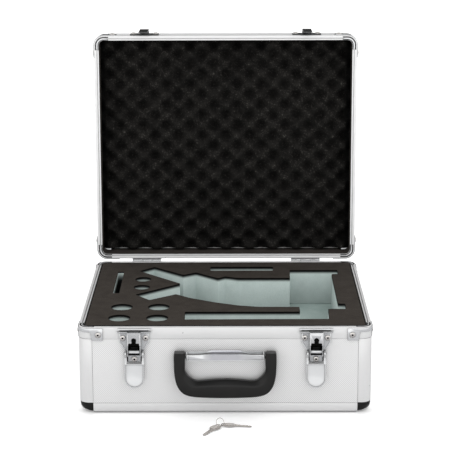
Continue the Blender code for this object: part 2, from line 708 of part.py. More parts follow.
def build_lever(hand, centre, axis_point):
    hang = pivot(f"lever_pivot_{hand}", axis_point, -LEVER_HANG)
    outline = lever_outline()
    outline = [(centre + x, z) for x, z in outline]
    layers = [
        (outline, LEVER_BACK), (outline, LEVER_FRONT + 0.0006), (inset_outline(outline, 0.0005), LEVER_FRONT),
        (inset_outline(outline, LEVER_RIM - 0.0004), LEVER_FRONT),
        (inset_outline(outline, LEVER_RIM), LEVER_FRONT + 0.0004),
        (inset_outline(outline, LEVER_RIM + 0.0004), LEVER_DISH_FLOOR),
    ]
    builder = bmesh.new()
    loops = [[(x, depth, z) for x, z in ring] for ring, depth in layers]
    rings = add_loops(builder, loops, closed=False)
    builder.faces.new(rings[0])
    builder.faces.new(rings[-1])
    shifted(builder, axis_point)
    lever = finish(f"latch_lever_{hand}", builder, "chrome", hang, math.radians(40))
    arms = bmesh.new()
    for side in (-1, 1):
        eye = arc((LATCH_PIN_Y, LATCH_PIN_Z), EYE_RADIUS, -30, 200, 12)
        profile = [*eye, (LEVER_FRONT + 0.0001, 0.0900), (LEVER_FRONT + 0.0001, 0.0800),
                   (LEVER_BACK - 0.0001, 0.0800), (LEVER_BACK - 0.0001, 0.0900)]
        bore = circle((LATCH_PIN_Y, LATCH_PIN_Z), LATCH_BORE_RADIUS - 0.0002, 16)
        ends = sorted((centre + side * LEVER_ARM_INNER, centre + side * (LEVER_HALF - 0.0001)))
        bar = bmesh.new()
        add_cut_layer(bar, profile, [bore], ends[0], ends[1])
        bmesh.ops.transform(bar, matrix=UPRIGHT_ALONG_X, verts=bar.verts)
        merge_into(arms, bar)
    shifted(arms, axis_point)
    cut(lever, finish(f"lever_arms_{hand}", arms, "chrome", hang), "UNION")
    pin = bmesh.new()
    add_cylinder(pin, (LATCH_PIN_Y, LATCH_PIN_Z), LATCH_PIN_RADIUS, "X", centre - 0.0152, centre + 0.0152, 16)
    shaft = finish(f"latch_claw_shaft_{hand}", shifted(pin, axis_point), "rivet", hang, math.radians(40))
    claw = bmesh.new()
    hub = arc((0, 0), 0.0027, 112, 428, 14)
    arm = [(-0.0001, 0.0100), (-0.0019, 0.0100), (-0.0019, 0.0086), (-0.0010, 0.0080)]
    profile = [(LATCH_PIN_Y + y, LATCH_PIN_Z + z) for y, z in [*hub, *arm]]
    add_prism(claw, profile, "X", centre - 0.0050, centre + 0.0050)
    cut(shaft, finish(f"claw_{hand}", shifted(claw, axis_point), "rivet", hang), "UNION")


def merge_into(builder, other):
    """Copies one bmesh into another as a separate body."""
    copies = {vertex: builder.verts.new(vertex.co) for vertex in other.verts}
    for face in other.faces:
        builder.faces.new([copies[vertex] for vertex in face.verts])
    other.free()


def build_lock(hand, centre):
    """Key barrel in the housing's front wall, with a shallow key slot in its face."""
    face = HOUSING_FRONT - 0.0006
    spin = pivot(f"lock_pivot_{hand}", (centre, face, KEYHOLE_Z))
    builder = bmesh.new()
    slot_half, slot_floor = 0.0007, 0.0010
    outline = circle((centre, KEYHOLE_Z), BARREL_RADIUS, 20)
    add_prism(builder, outline, "Y", face, HOUSING_FRONT + HOUSING_WALL + 0.0003)
    barrel = finish(f"lock_barrel_{hand}", shifted(builder, (centre, face, KEYHOLE_Z)), "lock_dark", spin,
                    math.radians(40))
    slot = bmesh.new()
    add_box(slot, (centre - slot_half, face - 0.001, KEYHOLE_Z - 0.0024),
            (centre + slot_half, face + slot_floor, KEYHOLE_Z + 0.0012))
    cut(barrel, finish(f"key_slot_{hand}", shifted(slot, (centre, face, KEYHOLE_Z)), "lock_dark", spin))


# ---- Hinges ---------------------------------------------------------------------------------------
def add_leaf(name, centre, direction, spans, material, parent, origin):
    """A hinge leaf: a plate on the wall and, over each span of X, a knuckle round the pin."""
    plate_end = HINGE_Z + direction * (LEAF_DROP if direction < 0 else LEAF_RISE)
    plate_start = HINGE_Z + direction * (HINGE_KNUCKLE_RADIUS + 0.0006)
    back, front = HALF_Y + FIT_GAP, HALF_Y + FIT_GAP + LEAF_THICKNESS
    builder = bmesh.new()
    low, high = sorted((plate_end, plate_start))
    add_box(builder, (centre - HINGE_WIDTH / 2, back, low), (centre + HINGE_WIDTH / 2, front, high))
    leaf = finish(name, shifted(builder, origin), material, parent, math.radians(40))
    knuckles = bmesh.new()
    for start, end in spans:
        reach = HINGE_Z + direction * (HINGE_KNUCKLE_RADIUS + 0.0016)
        if direction < 0:
            around = arc((HINGE_Y, HINGE_Z), HINGE_KNUCKLE_RADIUS, 180, -40, 14)
            profile = [*around, (front, HINGE_Z - HINGE_KNUCKLE_RADIUS), (front, reach), (back, reach)]
        else:
            around = arc((HINGE_Y, HINGE_Z), HINGE_KNUCKLE_RADIUS, 180, 400, 14)
            profile = [*around, (front, HINGE_Z + HINGE_KNUCKLE_RADIUS), (front, reach), (back, reach)]
        bore = circle((HINGE_Y, HINGE_Z), HINGE_PIN_RADIUS + FIT_GAP / 3, 16)
        bar = bmesh.new()
        add_cut_layer(bar, profile, [bore], centre + start, centre + end)
        bmesh.ops.transform(bar, matrix=UPRIGHT_ALONG_X, verts=bar.verts)
        merge_into(knuckles, bar)
    cut(leaf, finish(name + "_knuckles", shifted(knuckles, origin), material, parent), "UNION")


def build_base_hinges():
    half, knuckle = HINGE_WIDTH / 2, HINGE_KNUCKLE_HALF + FIT_GAP
    for hand, sign in (("left", -1), ("right", 1)):
        centre = sign * FITTING_X
        spans = [(-half, -knuckle), (knuckle, half)]
        add_leaf(f"hinge_base_leaf_{hand}", centre, -1, spans, "chrome", None, (0, 0, 0))
        pin = bmesh.new()
        add_cylinder(pin, (HINGE_Y, HINGE_Z), HINGE_PIN_RADIUS, "X", centre - half, centre + half, 16)
        finish(f"hinge_pin_{hand}", pin, "rivet", None, math.radians(40))


# ---- Lid: built shut, then turned open about the hinge line ---------------------------------------
def build_lid():
    origin = (0, HINGE_Y, HINGE_Z)
    swing = pivot("lid_pivot", origin, -LID_OPEN_ANGLE)
    bottom = BASE_HEIGHT + LID_PARTING_GAP
    top = bottom + LID_HEIGHT
    wall_bottom = bottom + RIM_HEIGHT + FIT_GAP
    for side in SIDES:
        edge_rail(f"lid_{side}_wall", side, top, -1, top - wall_bottom, swing, origin)
    for sign_x, sign_y in CORNERS:
        place = corner_name(sign_x, sign_y)
        builder = bmesh.new()
        corner = (sign_x * (HALF_X - CAP_SIZE), sign_y * (HALF_Y - CAP_SIZE), top - CAP_HEIGHT)
        add_cap(builder, corner, (sign_x, sign_y, 1))
        piece = finish(f"lid_corner_{place}", shifted(builder, origin), "chrome", swing, math.radians(35))
        post = bmesh.new()
        add_prism(post, post_section(sign_x, sign_y), "Z", wall_bottom, top - CAP_HEIGHT + 0.0010)
        cut(piece, finish(f"lid_post_{place}", shifted(post, origin), "chrome", swing), "UNION")
    builder = bmesh.new()
    floor_panel(builder, top, -1)
    finish("lid_outer_panel", shifted(builder, origin), "panel_skin", swing)
    builder = bmesh.new()
    sweep_frame(builder, rim_profile(bottom + RIM_HEIGHT, -1), HALF_X, HALF_Y, RIM_RADIUS)
    finish("lid_rim", shifted(builder, origin), "aluminium", swing, math.radians(40))
    builder = bmesh.new()
    notch = CAP_SIZE - (HALF_X - FOAM_HALF_X) + FIT_GAP
    foam = notched_rectangle(FOAM_HALF_X, FOAM_HALF_Y, notch)
    add_prism(builder, foam, "Z", bottom + LID_FOAM_DEPTH, top - WALL - FIT_GAP)
    finish("lid_egg_crate_foam", shifted(builder, origin), "foam_black", swing)
    knuckle = (-HINGE_KNUCKLE_HALF, HINGE_KNUCKLE_HALF)
    for hand, sign in (("left", -1), ("right", 1)):
        centre = sign * FITTING_X
        add_leaf(f"hinge_lid_leaf_{hand}", centre, 1, [knuckle], "chrome", swing, origin)
        build_catch(hand, centre, swing, origin)


def build_catch(hand, centre, swing, origin):
    """Lid half of a latch: a riveted plate and a slotted tongue that drops into the latch's channel."""
    builder = bmesh.new()
    low, high = 0.1400, 0.1660
    add_box(builder, (centre - CATCH_HALF, PLATE_FRONT, low), (centre + CATCH_HALF, PLATE_BACK, high))
    catch = finish(f"lid_catch_{hand}", shifted(builder, origin), "chrome", swing)
    front = TONGUE_BACK - TONGUE_THICKNESS
    step = 0.1560
    profile = [
        (PLATE_FRONT + 0.0005, step), (PLATE_FRONT + 0.0005, step - 0.0020), (TONGUE_BACK + 0.0008, step - 0.0020),
        (TONGUE_BACK, step - 0.0030), (TONGUE_BACK, TONGUE_TIP_Z), (front, TONGUE_TIP_Z),
        (front, step - 0.0016), (front + 0.0016, step),
    ]
    tongue = bmesh.new()
    add_prism(tongue, profile, "X", centre - TONGUE_HALF, centre + TONGUE_HALF)
    cut(catch, finish(f"catch_tongue_{hand}", shifted(tongue, origin), "chrome", swing), "UNION")
    slot = bmesh.new()
    add_box(slot, (centre - 0.0056, front - 0.001, TONGUE_SLOT[0]),
            (centre + 0.0056, TONGUE_BACK + 0.001, TONGUE_SLOT[1]))
    cut(catch, finish(f"catch_slot_{hand}", shifted(slot, origin), "chrome", swing))


# ---- Keys -----------------------------------------------------------------------------------------
def build_keys():
    """Two flat keys on a split ring that leans on their heads."""
    steps, sides = 28, 8
    lift = 0.0021
    lean = math.radians(62)
    ring_centre = Vector((*KEY_RING_CENTRE, 0.0))
    heading = math.radians(27)
    along = Vector((math.cos(heading), math.sin(heading), 0))
    upward = Vector((-math.sin(heading) * math.cos(lean), math.cos(heading) * math.cos(lean), math.sin(lean)))
    outward = along.cross(upward)
    lowest = KEY_WIRE + KEY_RING_RADIUS * math.sin(lean)
    builder = bmesh.new()
    loops = []
    for step in range(steps):
        angle = 2 * math.pi * step / steps
        radial = along * math.cos(angle) + upward * math.sin(angle)
        middle = ring_centre + Vector((0, 0, lowest)) + radial * KEY_RING_RADIUS
        loop = []
        for side in range(sides):
            turn = 2 * math.pi * side / sides
            loop.append(middle + KEY_WIRE * (radial * math.cos(turn) + outward * math.sin(turn)))
        loops.append(loop)
    add_loops(builder, loops)
    finish("key_ring", builder, "key_nickel", None, math.radians(60))
    drop = lowest - lift
    climb = drop / math.sin(lean)
    chord = math.sqrt(KEY_RING_RADIUS ** 2 - climb ** 2)
    foot = ring_centre + Vector((0, 0, lowest)) - upward * climb
    for name, side, bearing in (("key_a", -1, -119.0), ("key_b", 1, -6.0)):
        hole = foot + along * side * chord
        add_key(name, Vector((hole.x, hole.y, lift)), math.radians(bearing))


def add_key(name, hole, bearing):
    """A flat key: a bow with a hole, and a toothed blade that runs along the bearing to the floor."""
    mm = 0.001
    bow = [(-3.8, 0), (-2.6, -3.2), (3, -6.6), (8.5, -7.6), (14, -6.8), (17.2, -4.4), (18.2, -3.2)]
    blade = [(40.2, -3.2), (42.0, -1.4), (42.0, 0.4), (39, 2.2), (37, 1.2), (35, 3.2), (32.4, 1.6), (30, 3.2),
             (27, 1.4), (24.4, 3.2), (20.4, 3.2), (18.2, 4.0)]
    back = [(14, 6.8), (8.5, 7.6), (3, 6.6), (-2.6, 3.2)]
    outline = [(x * mm, y * mm) for x, y in [*bow, *blade, *back]]
    builder = bmesh.new()
    add_cut_layer(builder, outline, [circle((0, 0), 0.0026, 16)], -KEY_THICKNESS / 2, KEY_THICKNESS / 2)
    reach = max(x for x, _ in outline)
    tilt = math.asin((hole.z - KEY_THICKNESS / 2 - 0.0001) / reach)
    place = Matrix.Translation(hole) @ Matrix.Rotation(bearing, 4, "Z") @ Matrix.Rotation(tilt, 4, "Y")
    bmesh.ops.transform(builder, matrix=place, verts=builder.verts)
    finish(name, builder, "key_nickel")


# ---- Build ----------------------------------------------------------------------------------------
for old in list(bpy.data.objects):
    bpy.data.objects.remove(old)
for material_name, (colour, roughness, metallic) in MATERIALS.items():
    make_material(material_name, colour, roughness, metallic)
build_base()
build_foam()
build_handle()
build_handle_bracket()
for latch_hand, latch_sign in (("left", -1), ("right", 1)):
    build_latch(latch_hand, latch_sign)
build_base_hinges()
build_lid()
build_keys()
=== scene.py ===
"""Looks of the aluminium attache case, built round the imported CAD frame."""

import json
import math
import random

import bmesh
import bpy
from mathutils import Matrix, Vector


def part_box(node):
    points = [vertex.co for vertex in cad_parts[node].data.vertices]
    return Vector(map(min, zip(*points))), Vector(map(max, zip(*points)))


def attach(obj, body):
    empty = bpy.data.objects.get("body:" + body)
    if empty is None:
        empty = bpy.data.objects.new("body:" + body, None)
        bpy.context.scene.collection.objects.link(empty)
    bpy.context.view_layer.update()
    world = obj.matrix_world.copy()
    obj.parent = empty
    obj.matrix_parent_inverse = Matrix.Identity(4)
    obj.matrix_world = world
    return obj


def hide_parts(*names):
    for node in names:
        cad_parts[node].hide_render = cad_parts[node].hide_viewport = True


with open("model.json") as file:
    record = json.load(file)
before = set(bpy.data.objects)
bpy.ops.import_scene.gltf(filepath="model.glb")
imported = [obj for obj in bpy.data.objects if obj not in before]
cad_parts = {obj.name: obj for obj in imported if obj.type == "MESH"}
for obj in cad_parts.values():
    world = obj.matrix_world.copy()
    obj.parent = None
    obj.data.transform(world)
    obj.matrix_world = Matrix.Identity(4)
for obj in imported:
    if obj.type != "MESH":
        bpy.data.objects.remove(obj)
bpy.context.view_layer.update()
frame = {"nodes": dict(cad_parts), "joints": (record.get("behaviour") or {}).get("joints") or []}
NODES = frame["nodes"]
JOINTS = {joint["name"]: joint for joint in frame["joints"]}
SCENE = bpy.context.scene
GAP = 0.0003

# ---- Places taken from the CAD --------------------------------------------------------------------
BASE_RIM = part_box("base_rim")
CASE_HALF_X = BASE_RIM[1].x
CASE_HALF_Y = BASE_RIM[1].y
BASE_TOP = BASE_RIM[1].z
LID_BOTTOM = BASE_TOP + 0.0004
LID_JOINT = JOINTS["lid_hinge"]
HINGE = Vector(LID_JOINT["pos_m"])
LID_ANGLE = math.radians(LID_JOINT["range_deg"][1])
OPEN_LID = Matrix.Translation(HINGE) @ Matrix.Rotation(-LID_ANGLE, 4, "X") @ Matrix.Translation(-HINGE)
FITTING_X = JOINTS["latch_lift_right"]["pos_m"][0]
FOAM_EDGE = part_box("foam_cover_sheet")[1]
CORNERS = [(sign_x, sign_y) for sign_x in (-1, 1) for sign_y in (-1, 1)]
RIM_RADIUS = 0.0160
CLIP_PROUD = 0.00015
CLIP_DEPTH = 0.0008


# ---- Node helpers ---------------------------------------------------------------------------------
class Nodes:
    """Small builder for a material's node tree."""

    def __init__(self, name):
        self.material = bpy.data.materials.new(name)
        self.material.use_nodes = True
        self.tree = self.material.node_tree
        self.shader = self.tree.nodes["Principled BSDF"]
        coordinates = self.tree.nodes.new("ShaderNodeTexCoord")
        self.place = coordinates.outputs["Object"]

    def set(self, **values):
        for name, value in values.items():
            self.shader.inputs[name.replace("_", " ")].default_value = value

    def link(self, output, socket):
        self.tree.links.new(output, self.shader.inputs[socket] if isinstance(socket, str) else socket)

    def noise(self, scale, detail=3.0, rough=0.5):
        node = self.tree.nodes.new("ShaderNodeTexNoise")
        node.inputs["Scale"].default_value = scale
        node.inputs["Detail"].default_value = detail
        node.inputs["Roughness"].default_value = rough
        self.tree.links.new(self.place, node.inputs["Vector"])
        return node.outputs["Fac"]

    def voronoi(self, scale):
        node = self.tree.nodes.new("ShaderNodeTexVoronoi")
        node.inputs["Scale"].default_value = scale
        self.tree.links.new(self.place, node.inputs["Vector"])
        return node.outputs["Distance"]

    def math(self, operation, first, second=0.0):
        node = self.tree.nodes.new("ShaderNodeMath")
        node.operation = operation
        for socket, value in zip(node.inputs, (first, second)):
            if isinstance(value, (int, float)):
                socket.default_value = value
            else:
                self.tree.links.new(value, socket)
        return node.outputs[0]

    def axis(self, letter, vector=None):
        node = self.tree.nodes.new("ShaderNodeSeparateXYZ")
        self.tree.links.new(vector or self.place, node.inputs[0])
        return node.outputs[letter]

    def ramp(self, factor, stops):
        node = self.tree.nodes.new("ShaderNodeValToRGB")
        elements = node.color_ramp.elements
        for index, (position, colour) in enumerate(stops):
            element = elements[index] if index < 2 else elements.new(position)
            element.position = position
            element.color = (*colour, 1)
        self.tree.links.new(factor, node.inputs["Fac"])
        return node.outputs["Color"]

    def spread(self, factor, low, high):
        node = self.tree.nodes.new("ShaderNodeMapRange")
        node.inputs["To Min"].default_value = low
        node.inputs["To Max"].default_value = high
        self.tree.links.new(factor, node.inputs["Value"])
        return node.outputs[0]

    def shade_crevices(self, colour, distance, floor):
        """Paints shade into a colour where other surfaces stand close, down to `floor` of itself."""
        near = self.tree.nodes.new("ShaderNodeAmbientOcclusion")
        near.samples = 6
        near.inputs["Distance"].default_value = distance
        return self.tint(colour, self.spread(near.outputs["AO"], floor, 1.0))

    def tint(self, colour, factor):
        """One colour times another, or times a grey factor."""
        node = self.tree.nodes.new("ShaderNodeMix")
        node.data_type = "RGBA"
        node.blend_type = "MULTIPLY"
        node.inputs[0].default_value = 1.0
        self.tree.links.new(colour, node.inputs[6])
        self.tree.links.new(factor, node.inputs[7])
        return node.outputs[2]

    def choose(self, factor, first, second):
        """The first colour where the factor is 0, the second where it is 1."""
        node = self.tree.nodes.new("ShaderNodeMix")
        node.data_type = "RGBA"
        for socket, output in ((0, factor), (6, first), (7, second)):
            self.tree.links.new(output, node.inputs[socket])
        return node.outputs[2]

    def normal_axis(self, letter):
        """Size of one part of the surface's own direction, 0 to 1."""
        geometry = self.tree.nodes.new("ShaderNodeNewGeometry")
        return self.math("ABSOLUTE", self.axis(letter, geometry.outputs["True Normal"]))

    def bump(self, height, strength, distance):
        node = self.tree.nodes.new("ShaderNodeBump")
        node.inputs["Strength"].default_value = strength
        node.inputs["Distance"].default_value = distance
        self.tree.links.new(height, node.inputs["Height"])
        previous = self.shader.inputs["Normal"]
        if previous.is_linked:
            self.tree.links.new(previous.links[0].from_socket, node.inputs["Normal"])
        self.tree.links.new(node.outputs["Normal"], previous)


def grey(value, warm=0.0):
    return (value * (1 + warm), value, value * (1 - warm))


DIAMOND_PITCH = 0.0030
GROOVE_PITCH = 0.0012
BRACKET_SHADED_REACH = 0.020
NARROW_SLOT = -0.1755
SLOT_REACH = 0.0085
CORE_SHADOW_FROM = 0.1318
CORE_SHADE = (0.080, 0.125)
SLOT_SHADE = (0.122, 0.1332)
CRATE_SHADED_FROM = 0.2030
WHITE = (1, 1, 1)


# ---- Materials ------------------------------------------------------------------------------------
def diamond_height(nodes, pitch, flat):
    """Product of two crossed waves, 0 to 1: the small raised diamonds of the skin."""
    turn = 2 * math.pi / pitch
    x, y, z = (nodes.axis(letter) for letter in "XYZ")
    pairs = {"floor": (x, y), "lid": (x, z), "wall": (nodes.math("ADD", x, y), z)}
    waves = [nodes.math("SINE", nodes.math("MULTIPLY", place, turn)) for place in pairs[flat]]
    product = nodes.math("MULTIPLY", *waves)
    return nodes.math("MULTIPLY", nodes.math("ADD", product, 1.0), 0.5)


def panel_material(name, flat="wall"):
    nodes = Nodes(name)
    nodes.set(Metallic=0.35, Specular_IOR_Level=0.5)
    height = diamond_height(nodes, DIAMOND_PITCH, flat)
    haze = nodes.noise(9, 4, 0.6)
    tone = nodes.math("MULTIPLY", nodes.spread(height, 0.80, 1.00), nodes.spread(haze, 0.98, 1.02))
    colour = nodes.ramp(tone, [(0.78, grey(0.62)), (1.0, grey(0.98))])
    # Painted shade where rails and fittings stand close to the skin.
    nodes.link(nodes.shade_crevices(colour, 0.006, 0.55), "Base Color")
    nodes.link(nodes.spread(nodes.noise(60, 3), 0.34, 0.48), "Roughness")
    nodes.bump(height, 0.45, 0.0003)
    return nodes.material


def extrusion_material(name, direction, crevice_shade=0.25, tone=0.92):
    """Satin anodised extrusion with fine grooves, spaced along the axis that `direction` names, and
    painted shade in its crevices.
    """
    nodes = Nodes(name)
    nodes.set(Metallic=0.35)
    across = nodes.axis(direction)
    ridges = nodes.math("SINE", nodes.math("MULTIPLY", across, 2 * math.pi / GROOVE_PITCH))
    haze = nodes.noise(14, 4, 0.6)
    shade = nodes.math("MULTIPLY", nodes.spread(ridges, 0.985, 1.01), nodes.spread(haze, 0.98, 1.02))
    colour = nodes.ramp(shade, [(0.94, grey(0.78 * tone)), (1.0, grey(0.90 * tone))])
    nodes.link(nodes.shade_crevices(colour, 0.0045, crevice_shade), "Base Color")
    nodes.link(nodes.spread(nodes.noise(90, 3), 0.24, 0.38), "Roughness")
    nodes.bump(ridges, 0.25, 0.0001)
    return nodes.material


def chrome_material(name, tint=0.72, rough=(0.05, 0.12), warm=-0.012, metal=1.0,
                    outline=None, shaded_middle=False, top=None):
    """Polished plating with painted shade in its crevices; options add painted shade on faces turned
    aside, a darker painted reflection over the middle and painted light on level faces.
    """
    nodes = Nodes(name)
    nodes.set(Metallic=metal)
    smear = nodes.noise(55, 4, 0.6)
    colour = nodes.ramp(smear, [(0.2, grey(tint * 0.94, warm)), (0.8, grey(tint, warm))])
    # Painted shade on faces turned aside.
    if outline:
        turned = nodes.ramp(nodes.normal_axis("Y"), [(0.80, grey(outline)), (0.97, WHITE)])
        colour = nodes.tint(colour, turned)
    # Painted light on faces that lie level.
    if top:
        level = nodes.ramp(nodes.normal_axis("Z"), [(0.60, WHITE), (0.90, grey(top))])
        colour = nodes.tint(colour, level)
    # A darker painted reflection over the middle of the bracket.
    if shaded_middle:
        reach = nodes.math("ABSOLUTE", nodes.axis("X"))
        middle = nodes.ramp(reach, [(BRACKET_SHADED_REACH, (0.90, 0.89, 0.93)), (0.026, WHITE)])
        colour = nodes.tint(colour, middle)
    nodes.link(nodes.shade_crevices(colour, 0.0040, 0.12), "Base Color")
    nodes.link(nodes.spread(nodes.noise(130, 4), *rough), "Roughness")
    nodes.bump(nodes.noise(240, 2), 0.06, 0.0001)
    return nodes.material


def plastic_material(name, tone=0.012, specular=0.42, shade_top=False):
    """Grained black plastic with painted shade in its crevices; shade_top paints shade on the faces that
    lie level.
    """
    nodes = Nodes(name)
    nodes.set(Specular_IOR_Level=specular)
    grain = nodes.voronoi(1400)
    haze = nodes.noise(30, 3)
    colour = nodes.ramp(haze, [(0.3, grey(tone, 0.04)), (0.7, grey(tone * 1.4, 0.08))])
    if shade_top:
        level = nodes.ramp(nodes.normal_axis("Z"), [(0.30, WHITE), (0.62, grey(0.15))])
        colour = nodes.tint(colour, level)
    nodes.link(nodes.shade_crevices(colour, 0.004, 0.3), "Base Color")
    nodes.link(nodes.spread(nodes.noise(160, 2), 0.34, 0.46), "Roughness")
    nodes.bump(grain, 0.22, 0.0002)
    return nodes.material


def foam_material(name, dark, light, cell=900, strength=0.7, flecks=False, sheet=False, core=False):
    """Open-cell foam: cells and soft mottling, no gloss.

    flecks: light specks on black foam, painted shade in its hollows and towards its sides. core: pale,
    with painted shade growing with depth, a painted shadow band under the cover and painted shade in the
    narrow slot. sheet: painted shade on its cut edges and a painted shadow along its border.
    """
    nodes = Nodes(name)
    nodes.set(Roughness=0.96, Specular_IOR_Level=0.12)
    cells = nodes.voronoi(cell)
    speck = nodes.noise(cell * 1.7, 2, 0.7)
    mottle = nodes.noise(45, 4, 0.65)
    mix = nodes.math("ADD", nodes.math("MULTIPLY", speck, 0.6), nodes.math("MULTIPLY", mottle, 0.4))
    colour = nodes.ramp(mix, [(0.36, dark), (0.64, light)])
    if flecks:
        spots = nodes.noise(420, 1, 0.5)
        bright = nodes.ramp(spots, [(0.60, WHITE), (0.71, (4.2, 4.2, 4.2))])
        # Painted shade in the hollows between the peaks.
        colour = nodes.shade_crevices(nodes.tint(colour, bright), 0.030, 0.08)
        # Painted shade towards the sides.
        reach = nodes.math("ABSOLUTE", nodes.axis("X"))
        sides = nodes.ramp(reach, [(CRATE_SHADED_FROM, WHITE), (0.2065, grey(0.25))])
        colour = nodes.tint(colour, sides)
    if core:
        height = nodes.axis("Z")
        # Painted shade growing with depth.
        depth = nodes.ramp(height, [(CORE_SHADE[0], grey(0.70)), (CORE_SHADE[1], WHITE)])
        colour = nodes.tint(colour, depth)
        # Painted shadow band under the cover; painted shade deep in the narrow slot.
        band = nodes.ramp(height, [(CORE_SHADOW_FROM, WHITE), (CORE_SHADOW_FROM + 0.0007, grey(0.03))])
        gap = nodes.math("ABSOLUTE", nodes.math("SUBTRACT", nodes.axis("X"), NARROW_SLOT))
        inside = nodes.math("MULTIPLY", nodes.math("LESS_THAN", gap, SLOT_REACH),
                            nodes.math("GREATER_THAN", nodes.axis("Y"), 0.0))
        deep = nodes.ramp(height, [(SLOT_SHADE[0], grey(0.03)), (SLOT_SHADE[1], grey(1.1))])
        colour = nodes.tint(colour, nodes.choose(inside, band, deep))
    if sheet:
        # Painted shade on the cut edges and a painted shadow along the border.
        flat = nodes.ramp(nodes.normal_axis("Z"), [(0.80, (0.04, 0.04, 0.04)), (0.98, WHITE)])
        colour = nodes.tint(colour, flat)
        for letter, edge, width in (("X", FOAM_EDGE[0], 0.0022), ("Y", FOAM_EDGE[1], 0.0042)):
            reach = nodes.math("ABSOLUTE", nodes.axis(letter))
            inside = nodes.math("DIVIDE", nodes.math("SUBTRACT", edge, reach), width)
            colour = nodes.tint(colour, nodes.ramp(inside, [(0.45, (0.03, 0.03, 0.03)), (1.0, WHITE)]))
    nodes.link(colour, "Base Color")
    nodes.bump(cells, strength, 0.0005)
    nodes.bump(speck, strength * 0.6, 0.0004)
    return nodes.material


MATERIALS = {
    "panel": panel_material("panel_skin_walls"),
    "floor": panel_material("panel_skin_floor", flat="floor"),
    "lid_panel": panel_material("panel_skin_lid", flat="lid"),
    "rail": extrusion_material("extrusion_horizontal", "Z"),
    "post": extrusion_material("extrusion_upright", "X"),
    "lid_rail": extrusion_material("extrusion_lid", "Y", 0.72, 1.0),
    # Dark strips of painted reflection on the rims' corner clips.
    "dark_reflection": chrome_material("shaded_chrome", 0.10, (0.06, 0.14)),
    "chrome": chrome_material("chrome_plate"),
    # Bright strips of painted highlight: latch trims, bracket edging and the corner clips' middle strips.
    "bright": chrome_material("highlight_chrome", 0.90, (0.08, 0.16), metal=0.45),
    "silver": chrome_material("silver_chrome", 0.90, (0.05, 0.12), metal=0.70),
    "rivet": chrome_material("rivet_cap", 0.90, (0.20, 0.34), 0.035),
    "pin": chrome_material("pin_steel", 0.60, (0.12, 0.24)),
    # Near-black lock face; on the latch claws it is painted shade inside the latch.
    "dark": chrome_material("lock_face", 0.012, (0.25, 0.40)),
    "key": chrome_material("key_nickel", 0.80, (0.18, 0.30), 0.06, metal=0.7),
    # Near-black sheets of painted shade and shadow: rivet hollows, latch recesses and keyholes.
    "hollow": plastic_material("dark_hollow", 0.002, 0.04),
    # Painted shadow line along the handle bracket.
    "shadow_strip": plastic_material("shaded_seam", 0.03, 0.1),
    # Lid catches: near-black plating as painted shadow, with painted light on their level faces.
    "catch": chrome_material("catch_chrome", 0.10, (0.06, 0.14), top=4.5),
    # Painted shade on the lever's faces turned aside.
    "lever": chrome_material("lever_chrome", 0.74, (0.10, 0.18), metal=0.22, outline=0.55),
    # A darker painted reflection over the bracket's middle.
    "bracket": chrome_material("bracket_chrome", 0.90, (0.05, 0.12), metal=0.70, shaded_middle=True),
    "latch": chrome_material("latch_chrome", 0.84, (0.05, 0.12), metal=0.78),
    # Handle grip: painted shade on its level faces.
    "plastic": plastic_material("black_plastic", 0.0072, shade_top=True),
    "ball": plastic_material("black_corner_plastic", 0.0065),
    "cover": foam_material("foam_cover_sheet", (0.030, 0.025, 0.021), (0.058, 0.050, 0.043), sheet=True),
    "core": foam_material("foam_core_pale", (0.55, 0.63, 0.61), (0.68, 0.76, 0.74), 700, 0.45, core=True),
    "floor_foam": foam_material("foam_core_floor", (0.30, 0.38, 0.36), (0.40, 0.47, 0.45), 700, 0.45),
    "crate": foam_material("foam_egg_crate", (0.0030, 0.0028, 0.0026), (0.024, 0.0225, 0.0205), 650, 0.8,
                           flecks=True),
    "lining": foam_material("lid_lining", (0.030, 0.026, 0.023), (0.058, 0.050, 0.044), 1500, 0.4),
}


# ---- Dressing the CAD nodes -----------------------------------------------------------------------
def smooth_group():
    """Smooth shading everywhere except across edges sharper than the limit."""
    group = bpy.data.node_groups.new("smooth_by_angle", "GeometryNodeTree")
    group.interface.new_socket("Geometry", in_out="INPUT", socket_type="NodeSocketGeometry")
    group.interface.new_socket("Geometry", in_out="OUTPUT", socket_type="NodeSocketGeometry")
    start, end = group.nodes.new("NodeGroupInput"), group.nodes.new("NodeGroupOutput")
    faces = group.nodes.new("GeometryNodeSetShadeSmooth")
    edges = group.nodes.new("GeometryNodeSetShadeSmooth")
    edges.domain = "EDGE"
    edges.inputs["Shade Smooth"].default_value = False
    angle = group.nodes.new("GeometryNodeInputMeshEdgeAngle")
    sharper = group.nodes.new("FunctionNodeCompare")
    sharper.operation = "GREATER_THAN"
    sharper.inputs[1].default_value = math.radians(32)
    group.links.new(start.outputs[0], faces.inputs["Geometry"])
    group.links.new(faces.outputs[0], edges.inputs["Geometry"])
    group.links.new(angle.outputs["Unsigned Angle"], sharper.inputs[0])
    group.links.new(sharper.outputs[0], edges.inputs["Selection"])
    group.links.new(edges.outputs[0], end.inputs[0])
    return group


SMOOTH = smooth_group()


def soft_edges(piece, width, angle=35):
    """Eases every edge that is sharper than the angle."""
    soften = piece.modifiers.new("soften", "BEVEL")
    soften.width = width
    soften.segments = 2
    soften.limit_method = "ANGLE"
    soften.angle_limit = math.radians(angle)
    soften.use_clamp_overlap = True


